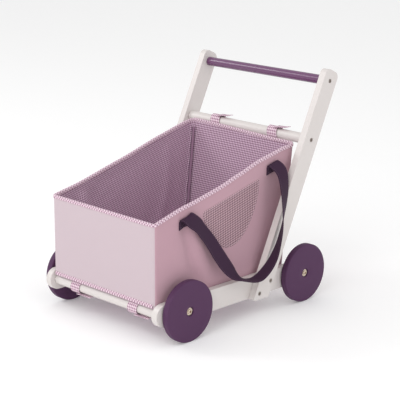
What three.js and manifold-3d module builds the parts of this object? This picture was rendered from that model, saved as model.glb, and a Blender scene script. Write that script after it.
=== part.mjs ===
// Doll stroller: two white wooden side frames joined by round cross bars, four wooden wheels,
// and an open fabric bag that hangs between the frames. Millimetres, +Z up. The low end of the
// bag faces -Y, the push bar +Y. The origin is on the floor, in the middle of the length and width.
import * as THREE from "three";
import { mergeVertices } from "three/addons/utils/BufferGeometryUtils.js";
import Module from "manifold-3d";

const wasm = await Module();
wasm.setup();

// ---- Driving dimensions ----
const OVERALL_LENGTH = 412;
const OVERALL_HEIGHT = 400;
const WIDTH_OVER_WHEELS = 299;
const GAP = 0.3; // between faces that touch on the real object

const WHEEL_RADIUS = 51;
const WHEEL_THICKNESS = 11.5;
const WHEEL_EDGE_ROUND = 1.2;
const WHEEL_BORE_RADIUS = 3.4;
const HUB_RECESS_RADIUS = 7.5;
const HUB_RECESS_DEPTH = 3.4;
const FRONT_AXLE_SETBACK = 43.5; // front bar to front axle
const REAR_AXLE_INSET = 71.5; // rearmost point to rear axle

const RAIL_HEIGHT = 36.6;
const RAIL_THICKNESS = 12;
const RAIL_REAR_OVERHANG = 12; // rear axle to the centre of the rail's rounded rear end
const UPRIGHT_WIDTH = 34;
const UPRIGHT_THICKNESS = 12.4;
const UPRIGHT_TO_REAR_AXLE = 103.5; // along the floor, where the upright crosses the rail's centre
const UPRIGHT_BELOW_RAIL = 1.5;
const UPRIGHT_ABOVE_BAR = 19; // along the board, from the push bar to its top end
const UPRIGHT_CORNER_RADIUS = 12;
const BOARD_BEVEL = 1.2;

const PUSH_BAR_RADIUS = 8;
const CROSS_BAR_RADIUS = 9;
const PUSH_BAR_TO_CROSS_BAR = 105; // along the upright
const REAR_BAR_AHEAD_OF_AXLE = 36;

const BOLT_RADIUS = 3;
const BOLT_HEAD_RADIUS = 4.6;
const BOLT_HEAD_HEIGHT = 1.7;
const BOLT_SOCKET_RADIUS = 2;
const HUB_WASHER_RADIUS = 6.3;
const HUB_WASHER_THICKNESS = 0.9;
const SPACER_RADIUS = 7;
const SPACER_THICKNESS = 1.1;
const INSERT_NUT_RADIUS = 7.5;
const INSERT_NUT_THICKNESS = 1.6;

const SCREW_HEAD_RADIUS = 3.3;
const SCREW_HEAD_HEIGHT = 2;
const SCREW_SHANK_RADIUS = 1.7;
const SCREW_SOCKET_RADIUS = 1.5;
const SCREW_IN_BAR = 24; // thread length in the end of a bar
const SCREW_IN_RAIL = 8.5;
const DRILL_CLEARANCE = 0.3; // added to a radius for each drilled hole
const COUNTERBORE_CLEARANCE = 0.5;

const BAG_CLEARANCE = 0.8; // bag side to rail
const BAG_WALL = 3.5;
const BAG_FRONT_HEIGHT = 138.5; // floor underside to rim at the low end
const BAG_RIM_BELOW_BAR = 3; // rim at the high end, below the cross bar's centre
const BAG_REAR_LEAN = 23; // how far the rear wall leans back over its height
const FLOOR_CLOTH = 2;
const BASE_BOARD_THICKNESS = 3;
const BASE_BOARD_INSET = 2;
const RIM_DEPTH = 6.5;
const RIM_THICKNESS = 4.6;
const HEM_HEIGHT = 5.4;
const LOOP_WIDTH = 20;
const LOOP_CLOTH = 1.3;
const FRONT_LOOP_SPACING = 141;
const REAR_LOOP_SPACING = 136;
const PATCH_THICKNESS = 0.5;

const WEBBING_WIDTH = 25;
const WEBBING_THICKNESS = 1.6;
const STRAP_FRONT_SETBACK = 65; // bag front to the middle of the strap's front end
const STRAP_FRONT_BELOW_RIM = 17;
const STRAP_REAR_AHEAD_OF_REAR_WALL = 61; // rear wall's top to the middle of the strap's rear end
const STRAP_REAR_BELOW_RIM = 13;
const STRAP_SEWN_LENGTH = 17;

// ---- Places worked out from the dimensions ----
const axleZ = WHEEL_RADIUS;
const wheelOuterX = WIDTH_OVER_WHEELS / 2;
const wheelInnerX = wheelOuterX - WHEEL_THICKNESS;
const railOuterX = wheelInnerX - SPACER_THICKNESS - 2 * GAP;
const railInnerX = railOuterX - RAIL_THICKNESS;
const uprightInnerX = railOuterX + GAP;
const uprightOuterX = uprightInnerX + UPRIGHT_THICKNESS;
const hubFloorX = wheelOuterX - HUB_RECESS_DEPTH;

const frontBarY = -OVERALL_LENGTH / 2 + RAIL_HEIGHT / 2;
const frontAxleY = frontBarY + FRONT_AXLE_SETBACK;
const rearAxleY = OVERALL_LENGTH / 2 - REAR_AXLE_INSET;
const railRearY = rearAxleY + RAIL_REAR_OVERHANG;
const rearBarY = rearAxleY - REAR_BAR_AHEAD_OF_AXLE;

const footY = rearAxleY - UPRIGHT_TO_REAR_AXLE;
const [lean, pushBarY, pushBarZ] = leaningBoard();
const boardUp = new THREE.Vector2(Math.sin(lean), Math.cos(lean));
const boardBack = new THREE.Vector2(Math.cos(lean), -Math.sin(lean));
const crossBarY = pushBarY - PUSH_BAR_TO_CROSS_BAR * Math.sin(lean);
const crossBarZ = pushBarZ - PUSH_BAR_TO_CROSS_BAR * Math.cos(lean);

const bagHalfWidth = railInnerX - BAG_CLEARANCE;
const bagFrontY = frontBarY - CROSS_BAR_RADIUS - 1;
const bagFloorZ = axleZ + CROSS_BAR_RADIUS + LOOP_CLOTH + 2 * GAP;
const bagRearTopY = crossBarY - CROSS_BAR_RADIUS - LOOP_CLOTH - 2 * GAP;
const bagRearFloorY = bagRearTopY - BAG_REAR_LEAN;
const rimFrontZ = bagFloorZ + BAG_FRONT_HEIGHT;
const rimRearZ = crossBarZ - BAG_RIM_BELOW_BAR;
const rimSlope = (rimRearZ - rimFrontZ) / (bagRearTopY - bagFrontY);
const rimZ = (y) => rimFrontZ + rimSlope * (y - bagFrontY);

// The lean of the uprights, and the push bar's centre, such that their rounded tops just reach
// the overall length and height. The bar's place depends on the lean, so it is found by steps.
function leaningBoard() {
  const radius = UPRIGHT_CORNER_RADIUS;
  const along = UPRIGHT_ABOVE_BAR - radius;
  const across = UPRIGHT_WIDTH / 2 - radius;
  let angle = Math.PI / 7;
  let y = 0;
  let z = 0;
  for (let i = 0; i < 12; i += 1) {
    const [sine, cosine] = [Math.sin(angle), Math.cos(angle)];
    y = OVERALL_LENGTH / 2 - radius - along * sine - across * cosine;
    z = OVERALL_HEIGHT - radius - along * cosine - across * sine;
    angle = Math.atan2(y - footY, z - axleZ);
  }
  return [angle, y, z];
}

// ---- Finishes ----
const FINISHES = {
  white_paint: { color: 0xe4e0df, roughness: 0.45, metalness: 0 },
  plum_paint: { color: 0x5c4262, roughness: 0.5, metalness: 0 },
  pale_plating: { color: 0xc9b9a4, roughness: 0.35, metalness: 0.7 },
  zinc_plating: { color: 0x9b9794, roughness: 0.4, metalness: 0.9 },
  nylon: { color: 0xd9d4cf, roughness: 0.5, metalness: 0 },
  pink_cotton: { color: 0xd3bcc6, roughness: 0.9, metalness: 0 },
  gingham: { color: 0xb08fa8, roughness: 0.9, metalness: 0 },
  webbing: { color: 0x453048, roughness: 0.8, metalness: 0 },
  hardboard: { color: 0x9b8068, roughness: 0.8, metalness: 0 },
};

// ---- Geometry helpers ----
const IN_SIDE_VIEW = new THREE.Matrix4().makeBasis(
  new THREE.Vector3(0, 1, 0),
  new THREE.Vector3(0, 0, 1),
  new THREE.Vector3(1, 0, 0),
);

function toSolid(geometry) {
  const bare = geometry.clone();
  bare.deleteAttribute("normal");
  bare.deleteAttribute("uv");
  const merged = mergeVertices(bare, 1e-4);
  const vertProperties = new Float32Array(merged.attributes.position.array);
  const triVerts = new Uint32Array(merged.index.array);
  return new wasm.Manifold(new wasm.Mesh({ numProp: 3, vertProperties, triVerts }));
}

function toGeometry(solid) {
  const mesh = solid.getMesh();
  const geometry = new THREE.BufferGeometry();
  geometry.setAttribute("position", new THREE.BufferAttribute(mesh.vertProperties, 3));
  geometry.setIndex(new THREE.BufferAttribute(mesh.triVerts, 1));
  const faceted = geometry.toNonIndexed();
  faceted.computeVertexNormals();
  return faceted;
}

const join = (first, ...others) => others.reduce((sum, piece) => sum.add(piece), first);
const cut = (body, ...tools) => tools.reduce((rest, tool) => rest.subtract(tool), body);

// A flat outline in (Y, Z), made solid from x0 to x1.
function slab(outline, x0, x1, bevel = 0) {
  const geometry = new THREE.ExtrudeGeometry(outline, {
    depth: x1 - x0 - 2 * bevel,
    bevelEnabled: bevel > 0,
    bevelThickness: bevel,
    bevelSize: bevel,
    bevelOffset: -bevel,
    bevelSegments: 2,
    curveSegments: 10,
  });
  geometry.translate(0, 0, x0 + bevel);
  return toSolid(geometry.applyMatrix4(IN_SIDE_VIEW));
}

function outlineOf(points) {
  return new THREE.Shape(points.map(([y, z]) => new THREE.Vector2(y, z)));
}

function box(x0, x1, y0, y1, z0, z1) {
  const geometry = new THREE.BoxGeometry(x1 - x0, y1 - y0, z1 - z0);
  return toSolid(geometry.translate((x0 + x1) / 2, (y0 + y1) / 2, (z0 + z1) / 2));
}

// A round bar along X, centred on (y, z).
function rod(radius, x0, x1, y, z, sides = 16) {
  const geometry = new THREE.CylinderGeometry(radius, radius, Math.abs(x1 - x0), sides);
  geometry.rotateZ(-Math.PI / 2);
  return toSolid(geometry.translate((x0 + x1) / 2, y, z));
}

function ring(outer, inner, x0, x1, y, z, sides = 16) {
  const low = Math.min(x0, x1);
  const high = Math.max(x0, x1);
  return cut(rod(outer, low, high, y, z, sides), rod(inner, low - 1, high + 1, y, z, sides));
}

const root = new THREE.Group();

function addPiece(group, name, solid, finish) {
  const mesh = new THREE.Mesh(toGeometry(solid), new THREE.MeshStandardMaterial(FINISHES[finish]));
  mesh.name = name;
  group.add(mesh);
}

const SIDES = [
  ["left", -1],
  ["right", 1],
];

// ---- Screws and bolts ----
// A socket-head screw along X, its head just under the face at faceX. It points to -side.
function screw(side, faceX, length, y, z) {
  const headTop = faceX - GAP;
  const headBase = headTop - SCREW_HEAD_HEIGHT;
  const tip = headBase - length;
  const head = rod(SCREW_HEAD_RADIUS, side * headTop, side * headBase, y, z, 12);
  const shank = rod(SCREW_SHANK_RADIUS, side * (headBase + 0.5), side * tip, y, z, 8);
  const socket = rod(SCREW_SOCKET_RADIUS, side * (headTop + 1), side * (headTop - 1.2), y, z, 6);
  return cut(join(head, shank), socket);
}

// The counterbore and the clearance hole that a screw needs, down to depthX.
function screwHole(side, faceX, depthX, y, z) {
  const headBase = faceX - GAP - SCREW_HEAD_HEIGHT - GAP;
  const wide = SCREW_HEAD_RADIUS + COUNTERBORE_CLEARANCE;
  const narrow = SCREW_SHANK_RADIUS + DRILL_CLEARANCE;
  return join(
    rod(wide, side * (faceX + 1), side * headBase, y, z, 16),
    rod(narrow, side * faceX, side * depthX, y, z, 10),
  );
}

// The head seats on the hub washer, and the shank runs through wheel, spacer, rail and nut.
const hubWasherTopX = hubFloorX + GAP + HUB_WASHER_THICKNESS;
const boltHeadBaseX = hubWasherTopX + GAP;
const insertNutOuterX = railInnerX - GAP;
const boltTipX = insertNutOuterX - INSERT_NUT_THICKNESS;

function wheelBolt(side, y) {
  const headTopX = boltHeadBaseX + BOLT_HEAD_HEIGHT;
  const head = rod(BOLT_HEAD_RADIUS, side * headTopX, side * boltHeadBaseX, y, axleZ, 18);
  const shank = rod(BOLT_RADIUS, side * (boltHeadBaseX + 0.5), side * boltTipX, y, axleZ, 14);
  const socket = rod(BOLT_SOCKET_RADIUS, side * (headTopX + 1), side * (headTopX - 1.1), y, axleZ, 6);
  return cut(join(head, shank), socket);
}

const boltHoleRadius = BOLT_RADIUS + DRILL_CLEARANCE;

// ---- Side frames ----
// The lower screws sit corner to corner where the upright crosses the rail.
const LOWER_SCREWS = [
  [11.5, 7],
  [-8, -9.5],
].map(([along, up]) => [footY + up * Math.tan(lean) + along, axleZ + up]);

function railOutline() {
  const radius = RAIL_HEIGHT / 2;
  const outline = new THREE.Shape();
  outline.moveTo(frontBarY, axleZ + radius);
  outline.absarc(frontBarY, axleZ, radius, Math.PI / 2, (Math.PI * 3) / 2);
  outline.lineTo(railRearY, axleZ - radius);
  outline.absarc(railRearY, axleZ, radius, -Math.PI / 2, Math.PI / 2);
  outline.closePath();
  return outline;
}

function makeRail(side) {
  const rail = slab(railOutline(), railInnerX, railOuterX, BOARD_BEVEL);
  const holes = [frontAxleY, rearAxleY].map((y) =>
    rod(boltHoleRadius, railInnerX - 1, railOuterX + 1, y, axleZ, 14),
  );
  const barScrews = [frontBarY, rearBarY].map((y) =>
    screwHole(1, railOuterX, railInnerX - 1, y, axleZ),
  );
  const uprightScrews = LOWER_SCREWS.map(([y, z]) =>
    rod(SCREW_SHANK_RADIUS + DRILL_CLEARANCE, railOuterX + 1, railOuterX - SCREW_IN_RAIL - 1, y, z, 10),
  );
  const made = cut(rail, ...holes, ...barScrews, ...uprightScrews);
  return side > 0 ? made : made.mirror([1, 0, 0]);
}

// A leaning board with two rounded top corners and a level bottom edge.
function uprightOutline() {
  const half = UPRIGHT_WIDTH / 2;
  const radius = UPRIGHT_CORNER_RADIUS;
  const corner = (sign) => {
    const centre = new THREE.Vector2(pushBarY, pushBarZ);
    centre.addScaledVector(boardUp, UPRIGHT_ABOVE_BAR - radius);
    return centre.addScaledVector(boardBack, sign * (half - radius));
  };
  const [rearCorner, frontCorner] = [corner(1), corner(-1)];
  const bottomZ = axleZ - RAIL_HEIGHT / 2 - UPRIGHT_BELOW_RAIL;
  const across = half / Math.cos(lean);
  const bottomY = footY + (bottomZ - axleZ) * Math.tan(lean);
  const outline = new THREE.Shape();
  outline.moveTo(bottomY - across, bottomZ);
  outline.lineTo(bottomY + across, bottomZ);
  outline.absarc(rearCorner.x, rearCorner.y, radius, -lean, Math.PI / 2 - lean);
  outline.absarc(frontCorner.x, frontCorner.y, radius, Math.PI / 2 - lean, Math.PI - lean);
  outline.closePath();
  return outline;
}

function makeUpright(side) {
  const board = slab(uprightOutline(), uprightInnerX, uprightOuterX, BOARD_BEVEL);
  const places = [[pushBarY, pushBarZ], [crossBarY, crossBarZ], ...LOWER_SCREWS];
  const made = cut(
    board,
    ...places.map(([y, z]) => screwHole(1, uprightOuterX, uprightInnerX - 1, y, z)),
  );
  return side > 0 ? made : made.mirror([1, 0, 0]);
}

// A bar between two inner faces, drilled in both ends for its screws.
function makeBar(radius, innerX, y, z) {
  const end = innerX - GAP;
  const depth = end - SCREW_IN_BAR - 1;
  const drill = SCREW_SHANK_RADIUS + DRILL_CLEARANCE;
  return cut(
    rod(radius, -end, end, y, z, 24),
    rod(drill, -end - 1, -depth, y, z, 10),
    rod(drill, depth, end + 1, y, z, 10),
  );
}

function addFrame() {
  const frame = new THREE.Group();
  addPiece(frame, "push_bar", makeBar(PUSH_BAR_RADIUS, uprightInnerX, pushBarY, pushBarZ), "plum_paint");
  const bars = [
    ["cross_bar", uprightInnerX, crossBarY, crossBarZ],
    ["front_bar", railInnerX, frontBarY, axleZ],
    ["rear_bar", railInnerX, rearBarY, axleZ],
  ];
  for (const [name, innerX, y, z] of bars) {
    addPiece(frame, name, makeBar(CROSS_BAR_RADIUS, innerX, y, z), "white_paint");
  }
  const fromUpright = UPRIGHT_THICKNESS - GAP - SCREW_HEAD_HEIGHT + GAP;
  const fromRail = RAIL_THICKNESS - GAP - SCREW_HEAD_HEIGHT + GAP;
  const screws = [
    ["push_bar_screw", uprightOuterX, fromUpright + SCREW_IN_BAR, pushBarY, pushBarZ],
    ["cross_bar_screw", uprightOuterX, fromUpright + SCREW_IN_BAR, crossBarY, crossBarZ],
    ["front_bar_screw", railOuterX, fromRail + SCREW_IN_BAR, frontBarY, axleZ],
    ["rear_bar_screw", railOuterX, fromRail + SCREW_IN_BAR, rearBarY, axleZ],
    ["foot_screw_rear", uprightOuterX, fromUpright + SCREW_IN_RAIL, ...LOWER_SCREWS[0]],
    ["foot_screw_front", uprightOuterX, fromUpright + SCREW_IN_RAIL, ...LOWER_SCREWS[1]],
  ];
  for (const [sideName, side] of SIDES) {
    addPiece(frame, `rail_${sideName}`, makeRail(side), "white_paint");
    addPiece(frame, `upright_${sideName}`, makeUpright(side), "white_paint");
    for (const [name, faceX, length, y, z] of screws) {
      addPiece(frame, `${name}_${sideName}`, screw(side, faceX, length, y, z), "zinc_plating");
    }
  }
  root.add(frame);
}

// ---- Wheels ----
// Half of a wheel's section, as (radius, distance in from the outer face).
function wheelSection() {
  const round = WHEEL_EDGE_ROUND;
  const corner = round * (1 - Math.SQRT1_2);
  const points = [
    [WHEEL_BORE_RADIUS, HUB_RECESS_DEPTH],
    [HUB_RECESS_RADIUS, HUB_RECESS_DEPTH],
    [HUB_RECESS_RADIUS, 0],
    [WHEEL_RADIUS - round, 0],
    [WHEEL_RADIUS - corner, corner],
    [WHEEL_RADIUS, round],
    [WHEEL_RADIUS, WHEEL_THICKNESS - round],
    [WHEEL_RADIUS - corner, WHEEL_THICKNESS - corner],
    [WHEEL_RADIUS - round, WHEEL_THICKNESS],
    [WHEEL_BORE_RADIUS, WHEEL_THICKNESS],
    [WHEEL_BORE_RADIUS, HUB_RECESS_DEPTH],
  ];
  return points.map(([radius, depth]) => new THREE.Vector2(radius, -depth));
}

function makeWheel(side, y) {
  const geometry = new THREE.LatheGeometry(wheelSection().reverse(), 40);
  geometry.rotateZ(-Math.PI / 2);
  const solid = toSolid(geometry.translate(wheelOuterX, y, axleZ));
  return side > 0 ? solid : solid.mirror([1, 0, 0]);
}

function addWheels() {
  for (const [endName, y] of [["front", frontAxleY], ["rear", rearAxleY]]) {
    for (const [sideName, side] of SIDES) {
      const station = new THREE.Group();
      const tag = `${endName}_${sideName}`;
      const washer = [side * (hubFloorX + GAP), side * hubWasherTopX, y, axleZ];
      const spacer = [side * (railOuterX + GAP), side * (wheelInnerX - GAP), y, axleZ];
      const nut = [side * insertNutOuterX, side * boltTipX, y, axleZ];
      addPiece(station, `wheel_${tag}`, makeWheel(side, y), "plum_paint");
      addPiece(station, `wheel_bolt_${tag}`, wheelBolt(side, y), "pale_plating");
      addPiece(station, `hub_washer_${tag}`, ring(HUB_WASHER_RADIUS, boltHoleRadius, ...washer), "pale_plating");
      addPiece(station, `spacer_${tag}`, ring(SPACER_RADIUS, boltHoleRadius, ...spacer), "nylon");
      addPiece(station, `insert_nut_${tag}`, ring(INSERT_NUT_RADIUS, boltHoleRadius, ...nut), "zinc_plating");
      root.add(station);
    }
  }
}

// ---- Bag ----
const wallFootZ = bagFloorZ + HEM_HEIGHT + GAP;
const wallTop = (y) => rimZ(y) - RIM_DEPTH - GAP;

function rearY(z) {
  const share = (z - bagFloorZ) / (rimRearZ - bagFloorZ);
  return bagRearFloorY + share * BAG_REAR_LEAN;
}

function sideWall(side) {
  const topRearY = rearY(wallTop(bagRearTopY));
  const outline = outlineOf([
    [bagFrontY, bagFloorZ],
    [bagRearFloorY, bagFloorZ],
    [topRearY, wallTop(topRearY)],
    [bagFrontY, wallTop(bagFrontY)],
  ]);
  const wall = slab(outline, bagHalfWidth - BAG_WALL, bagHalfWidth);
  return side > 0 ? wall : wall.mirror([1, 0, 0]);
}

function frontWall() {
  const half = bagHalfWidth - BAG_WALL - GAP;
  const outline = outlineOf([
    [bagFrontY, wallFootZ],
    [bagFrontY + BAG_WALL, wallFootZ],
    [bagFrontY + BAG_WALL, wallTop(bagFrontY)],
    [bagFrontY, wallTop(bagFrontY)],
  ]);
  return slab(outline, -half, half);
}

function rearWall() {
  const half = bagHalfWidth - BAG_WALL - GAP;
  const topZ = wallTop(bagRearTopY - BAG_WALL);
  const outline = outlineOf([
    [rearY(bagFloorZ) - BAG_WALL, bagFloorZ],
    [rearY(bagFloorZ), bagFloorZ],
    [rearY(topZ), topZ],
    [rearY(topZ) - BAG_WALL, topZ],
  ]);
  return slab(outline, -half, half);
}

// The bound edge runs round the top of all four walls and rises with them.
function rimBinding() {
  const outer = bagHalfWidth;
  const inner = bagHalfWidth - RIM_THICKNESS;
  const outline = outlineOf([
    [-outer, bagFrontY],
    [outer, bagFrontY],
    [outer, bagRearTopY],
    [-outer, bagRearTopY],
  ]);
  const hole = new THREE.Path();
  hole.moveTo(-inner, bagFrontY + RIM_THICKNESS);
  hole.lineTo(-inner, bagRearTopY - RIM_THICKNESS);
  hole.lineTo(inner, bagRearTopY - RIM_THICKNESS);
  hole.lineTo(inner, bagFrontY + RIM_THICKNESS);
  hole.closePath();
  outline.holes.push(hole);
  const geometry = new THREE.ExtrudeGeometry(outline, { depth: RIM_DEPTH, bevelEnabled: false });
  const rise = new THREE.Matrix4().set(
    1, 0, 0, 0,
    0, 1, 0, 0,
    0, rimSlope, 1, rimFrontZ - RIM_DEPTH - rimSlope * bagFrontY,
    0, 0, 0, 1,
  );
  return toSolid(geometry.applyMatrix4(rise));
}

// The checked patch on each side: a straight edge under the rim and a round lower edge.
const PATCH_FRONT_SETBACK = 105;
const PATCH_LENGTH = 131;
const PATCH_BELOW_RIM = 26;
const PATCH_DEPTH = 72;
const PATCH_CORNER = 8;

function patchOutline() {
  const y = (share) => bagFrontY + PATCH_FRONT_SETBACK + share * PATCH_LENGTH;
  const topZ = (share) => rimZ(y(share)) - PATCH_BELOW_RIM;
  const bottomZ = topZ(0) - PATCH_DEPTH;
  const dropZ = (share) => topZ(0) - share * PATCH_DEPTH;
  const corner = PATCH_CORNER / PATCH_LENGTH;
  const outline = new THREE.Shape();
  outline.moveTo(y(corner), topZ(corner));
  outline.lineTo(y(1 - corner / 2), topZ(1 - corner / 2));
  outline.quadraticCurveTo(y(1), topZ(1), y(1), topZ(1) - PATCH_CORNER);
  outline.bezierCurveTo(y(0.97), dropZ(0.25), y(0.76), bottomZ, y(0.46), bottomZ);
  outline.bezierCurveTo(y(0.24), bottomZ, y(0.04), dropZ(0.4), y(0), topZ(0) - PATCH_CORNER);
  outline.quadraticCurveTo(y(-0.01), topZ(0), y(corner), topZ(corner));
  return outline;
}

function patch(side) {
  const low = bagHalfWidth + GAP;
  const plate = slab(patchOutline(), low, low + PATCH_THICKNESS);
  return side > 0 ? plate : plate.mirror([1, 0, 0]);
}

// A cloth loop round a bar, closed on itself, with a short free end.
function barLoop(x, y, z, endDrop) {
  const inner = CROSS_BAR_RADIUS + GAP;
  const outer = inner + LOOP_CLOTH;
  const low = x - LOOP_WIDTH / 2;
  const high = x + LOOP_WIDTH / 2;
  const band = ring(outer, inner, low, high, y, z, 24);
  const freeEnd = box(low + 1, high - 1, y + inner + 0.2, y + outer - 0.1, z - endDrop, z);
  return join(band, freeEnd);
}

function addBag() {
  const bag = new THREE.Group();
  const half = bagHalfWidth - BAG_WALL - GAP;
  const innerFrontY = bagFrontY + BAG_WALL + GAP;
  const innerRearY = bagRearFloorY - BAG_WALL - GAP;
  const floorTopZ = bagFloorZ + FLOOR_CLOTH;
  const boardZ = floorTopZ + GAP;
  const floor = box(-half, half, innerFrontY, innerRearY, bagFloorZ, floorTopZ);
  const board = box(
    -half + BASE_BOARD_INSET,
    half - BASE_BOARD_INSET,
    innerFrontY + BASE_BOARD_INSET,
    innerRearY - BASE_BOARD_INSET,
    boardZ,
    boardZ + BASE_BOARD_THICKNESS,
  );
  addPiece(bag, "bag_front", frontWall(), "pink_cotton");
  addPiece(bag, "bag_rear", rearWall(), "pink_cotton");
  addPiece(bag, "bag_floor", floor, "gingham");
  addPiece(bag, "base_board", board, "hardboard");
  addPiece(bag, "rim_binding", rimBinding(), "gingham");
  const hem = box(-half, half, bagFrontY, bagFrontY + BAG_WALL, bagFloorZ, bagFloorZ + HEM_HEIGHT);
  addPiece(bag, "front_hem", hem, "gingham");
  for (const [sideName, side] of SIDES) {
    const frontLoop = barLoop((side * FRONT_LOOP_SPACING) / 2, frontBarY, axleZ, CROSS_BAR_RADIUS + 6);
    const rearLoop = barLoop((side * REAR_LOOP_SPACING) / 2, crossBarY, crossBarZ, CROSS_BAR_RADIUS + 4);
    addPiece(bag, `bag_side_${sideName}`, sideWall(side), "pink_cotton");
    addPiece(bag, `side_patch_${sideName}`, patch(side), "gingham");
    addPiece(bag, `front_loop_${sideName}`, frontLoop, "gingham");
    addPiece(bag, `rear_loop_${sideName}`, rearLoop, "gingham");
  }
  root.add(bag);
}

// ---- Carry straps ----
// Each station of a strap's middle line: share of the way from its front end to its rear end,
// drop below the line between the ends, share of the way out from bag to hanging plane, and the
// turn of the webbing in degrees (0 lies flat to the side, 90 lies flat to the floor).
const STRAP_STATIONS = [
  [0.014, -1.5, 0.06, 0],
  [0.026, 2, 0.1, 4],
  [0.067, 11, 0.18, 16],
  [0.142, 33, 0.27, 16],
  [0.229, 60, 0.34, 10],
  [0.3, 87, 0.45, 4],
  [0.363, 111, 0.56, 8],
  [0.427, 130, 0.65, 25],
  [0.482, 142, 0.73, 50],
  [0.54, 151, 0.82, 73],
  [0.6, 156.5, 0.91, 84],
  [0.672, 158.5, 0.98, 88],
  [0.752, 154, 1, 93],
  [0.835, 143, 1, 105],
  [0.895, 125, 1, 119],
  [0.939, 102, 1, 131],
  [0.967, 79.5, 0.97, 145],
  [0.992, 58, 0.89, 159],
  [1.013, 39, 0.77, 171],
  [1.025, 22, 0.6, 177],
  [1.03, 10, 0.35, 179],
  [1.024, 2.5, 0.14, 180],
  [1.019, -1.5, 0.06, 180],
];

const strapInnerX = bagHalfWidth + GAP + WEBBING_THICKNESS / 2;
const strapOuterX = uprightOuterX + GAP + WEBBING_WIDTH / 2;

function strapEnds() {
  const frontY = bagFrontY + STRAP_FRONT_SETBACK;
  const backY = bagRearTopY - STRAP_REAR_AHEAD_OF_REAR_WALL;
  const frontZ = rimZ(frontY) - STRAP_FRONT_BELOW_RIM;
  const backZ = rimZ(backY) - STRAP_REAR_BELOW_RIM;
  return [new THREE.Vector3(0, frontY, frontZ), new THREE.Vector3(0, backY, backZ)];
}

// The strap as a smooth run of stations, each a middle point and a direction across the webbing.
function strapRun() {
  const [front, rear] = strapEnds();
  const middles = [];
  const turns = [];
  for (const [share, drop, out, turn] of STRAP_STATIONS) {
    const point = front.clone().lerp(rear, share);
    point.z -= drop;
    point.x = strapInnerX + out * (strapOuterX - strapInnerX);
    middles.push(point);
    turns.push(new THREE.Vector3(turn, 0, 0));
  }
  const path = new THREE.CatmullRomCurve3(middles);
  const turning = new THREE.CatmullRomCurve3(turns);
  const steps = 2 * (middles.length - 1);
  const run = [];
  for (let i = 0; i <= steps; i += 1) {
    const along = path.getTangent(i / steps);
    const turn = THREE.MathUtils.degToRad(turning.getPoint(i / steps).x);
    const flat = new THREE.Vector3(1, 0, 0).cross(along).normalize();
    const across = flat.applyAxisAngle(along, -turn);
    run.push({ middle: path.getPoint(i / steps), along, across });
  }
  return run;
}

// Sweeps the webbing's thin section along the run and closes both ends.
function webbing(run) {
  const positions = [];
  const faces = [];
  for (const { middle, along, across } of run) {
    const up = along.clone().cross(across).normalize();
    for (const [a, b] of [[-1, -1], [1, -1], [1, 1], [-1, 1]]) {
      const corner = middle.clone();
      corner.addScaledVector(across, (a * WEBBING_WIDTH) / 2);
      corner.addScaledVector(up, (b * WEBBING_THICKNESS) / 2);
      positions.push(corner.x, corner.y, corner.z);
    }
  }
  for (let i = 0; i < run.length - 1; i += 1) {
    for (let k = 0; k < 4; k += 1) {
      const a = 4 * i + k;
      const b = 4 * i + ((k + 1) % 4);
      faces.push(a, b, b + 4, a, b + 4, a + 4);
    }
  }
  const last = 4 * (run.length - 1);
  faces.push(0, 2, 1, 0, 3, 2);
  faces.push(last, last + 1, last + 2, last, last + 2, last + 3);
  const geometry = new THREE.BufferGeometry();
  geometry.setAttribute("position", new THREE.Float32BufferAttribute(positions, 3));
  geometry.setIndex(faces);
  return toSolid(geometry);
}

// The short ends of a strap that are sewn flat to the side of the bag, below its fold.
function sewnEnd(side, end) {
  const low = bagHalfWidth + GAP;
  const half = WEBBING_WIDTH / 2;
  const topZ = end.z - WEBBING_THICKNESS - GAP;
  const leg = box(
    low,
    low + WEBBING_THICKNESS,
    end.y - half,
    end.y + half,
    end.z - STRAP_SEWN_LENGTH,
    topZ,
  );
  return side > 0 ? leg : leg.mirror([1, 0, 0]);
}

function addStraps() {
  const [front, rear] = strapEnds();
  for (const [sideName, side] of SIDES) {
    const strap = webbing(strapRun());
    addPiece(root, `carry_strap_${sideName}`, side > 0 ? strap : strap.mirror([1, 0, 0]), "webbing");
    addPiece(root, `strap_end_front_${sideName}`, sewnEnd(side, front), "webbing");
    addPiece(root, `strap_end_rear_${sideName}`, sewnEnd(side, rear), "webbing");
  }
}

addFrame();
addWheels();
addBag();
addStraps();

export default root;
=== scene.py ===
"""Doll stroller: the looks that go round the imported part.

White painted side frames and bars, plum wheels and push bar, and an open cotton bag with a
gingham lining, binding and patches, carried by two straps of plum webbing. Everything is in
metres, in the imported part's own frame: +Z up, +Y towards the push bar, X across.
"""

import logging
import math
from dataclasses import dataclass
from enum import Enum
from typing import Callable, Optional, Sequence

import bmesh
import bpy
from mathutils import Matrix, Vector, noise


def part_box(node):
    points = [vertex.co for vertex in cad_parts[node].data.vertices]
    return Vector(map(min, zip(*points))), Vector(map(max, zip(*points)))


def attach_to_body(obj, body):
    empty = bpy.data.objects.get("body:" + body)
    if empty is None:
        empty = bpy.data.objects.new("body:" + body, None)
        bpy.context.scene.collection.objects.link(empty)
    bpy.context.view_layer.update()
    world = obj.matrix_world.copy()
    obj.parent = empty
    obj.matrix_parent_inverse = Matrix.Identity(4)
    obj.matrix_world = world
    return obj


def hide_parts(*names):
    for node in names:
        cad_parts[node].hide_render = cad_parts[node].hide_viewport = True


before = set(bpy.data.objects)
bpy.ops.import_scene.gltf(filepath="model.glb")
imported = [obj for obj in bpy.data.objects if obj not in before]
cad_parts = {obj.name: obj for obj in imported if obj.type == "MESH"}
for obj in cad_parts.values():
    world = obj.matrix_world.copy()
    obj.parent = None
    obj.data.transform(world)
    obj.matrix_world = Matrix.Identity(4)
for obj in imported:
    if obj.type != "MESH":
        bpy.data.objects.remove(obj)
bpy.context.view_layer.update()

logging.basicConfig(level=logging.INFO, format="%(message)s")
log = logging.getLogger("doll_stroller")

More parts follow.
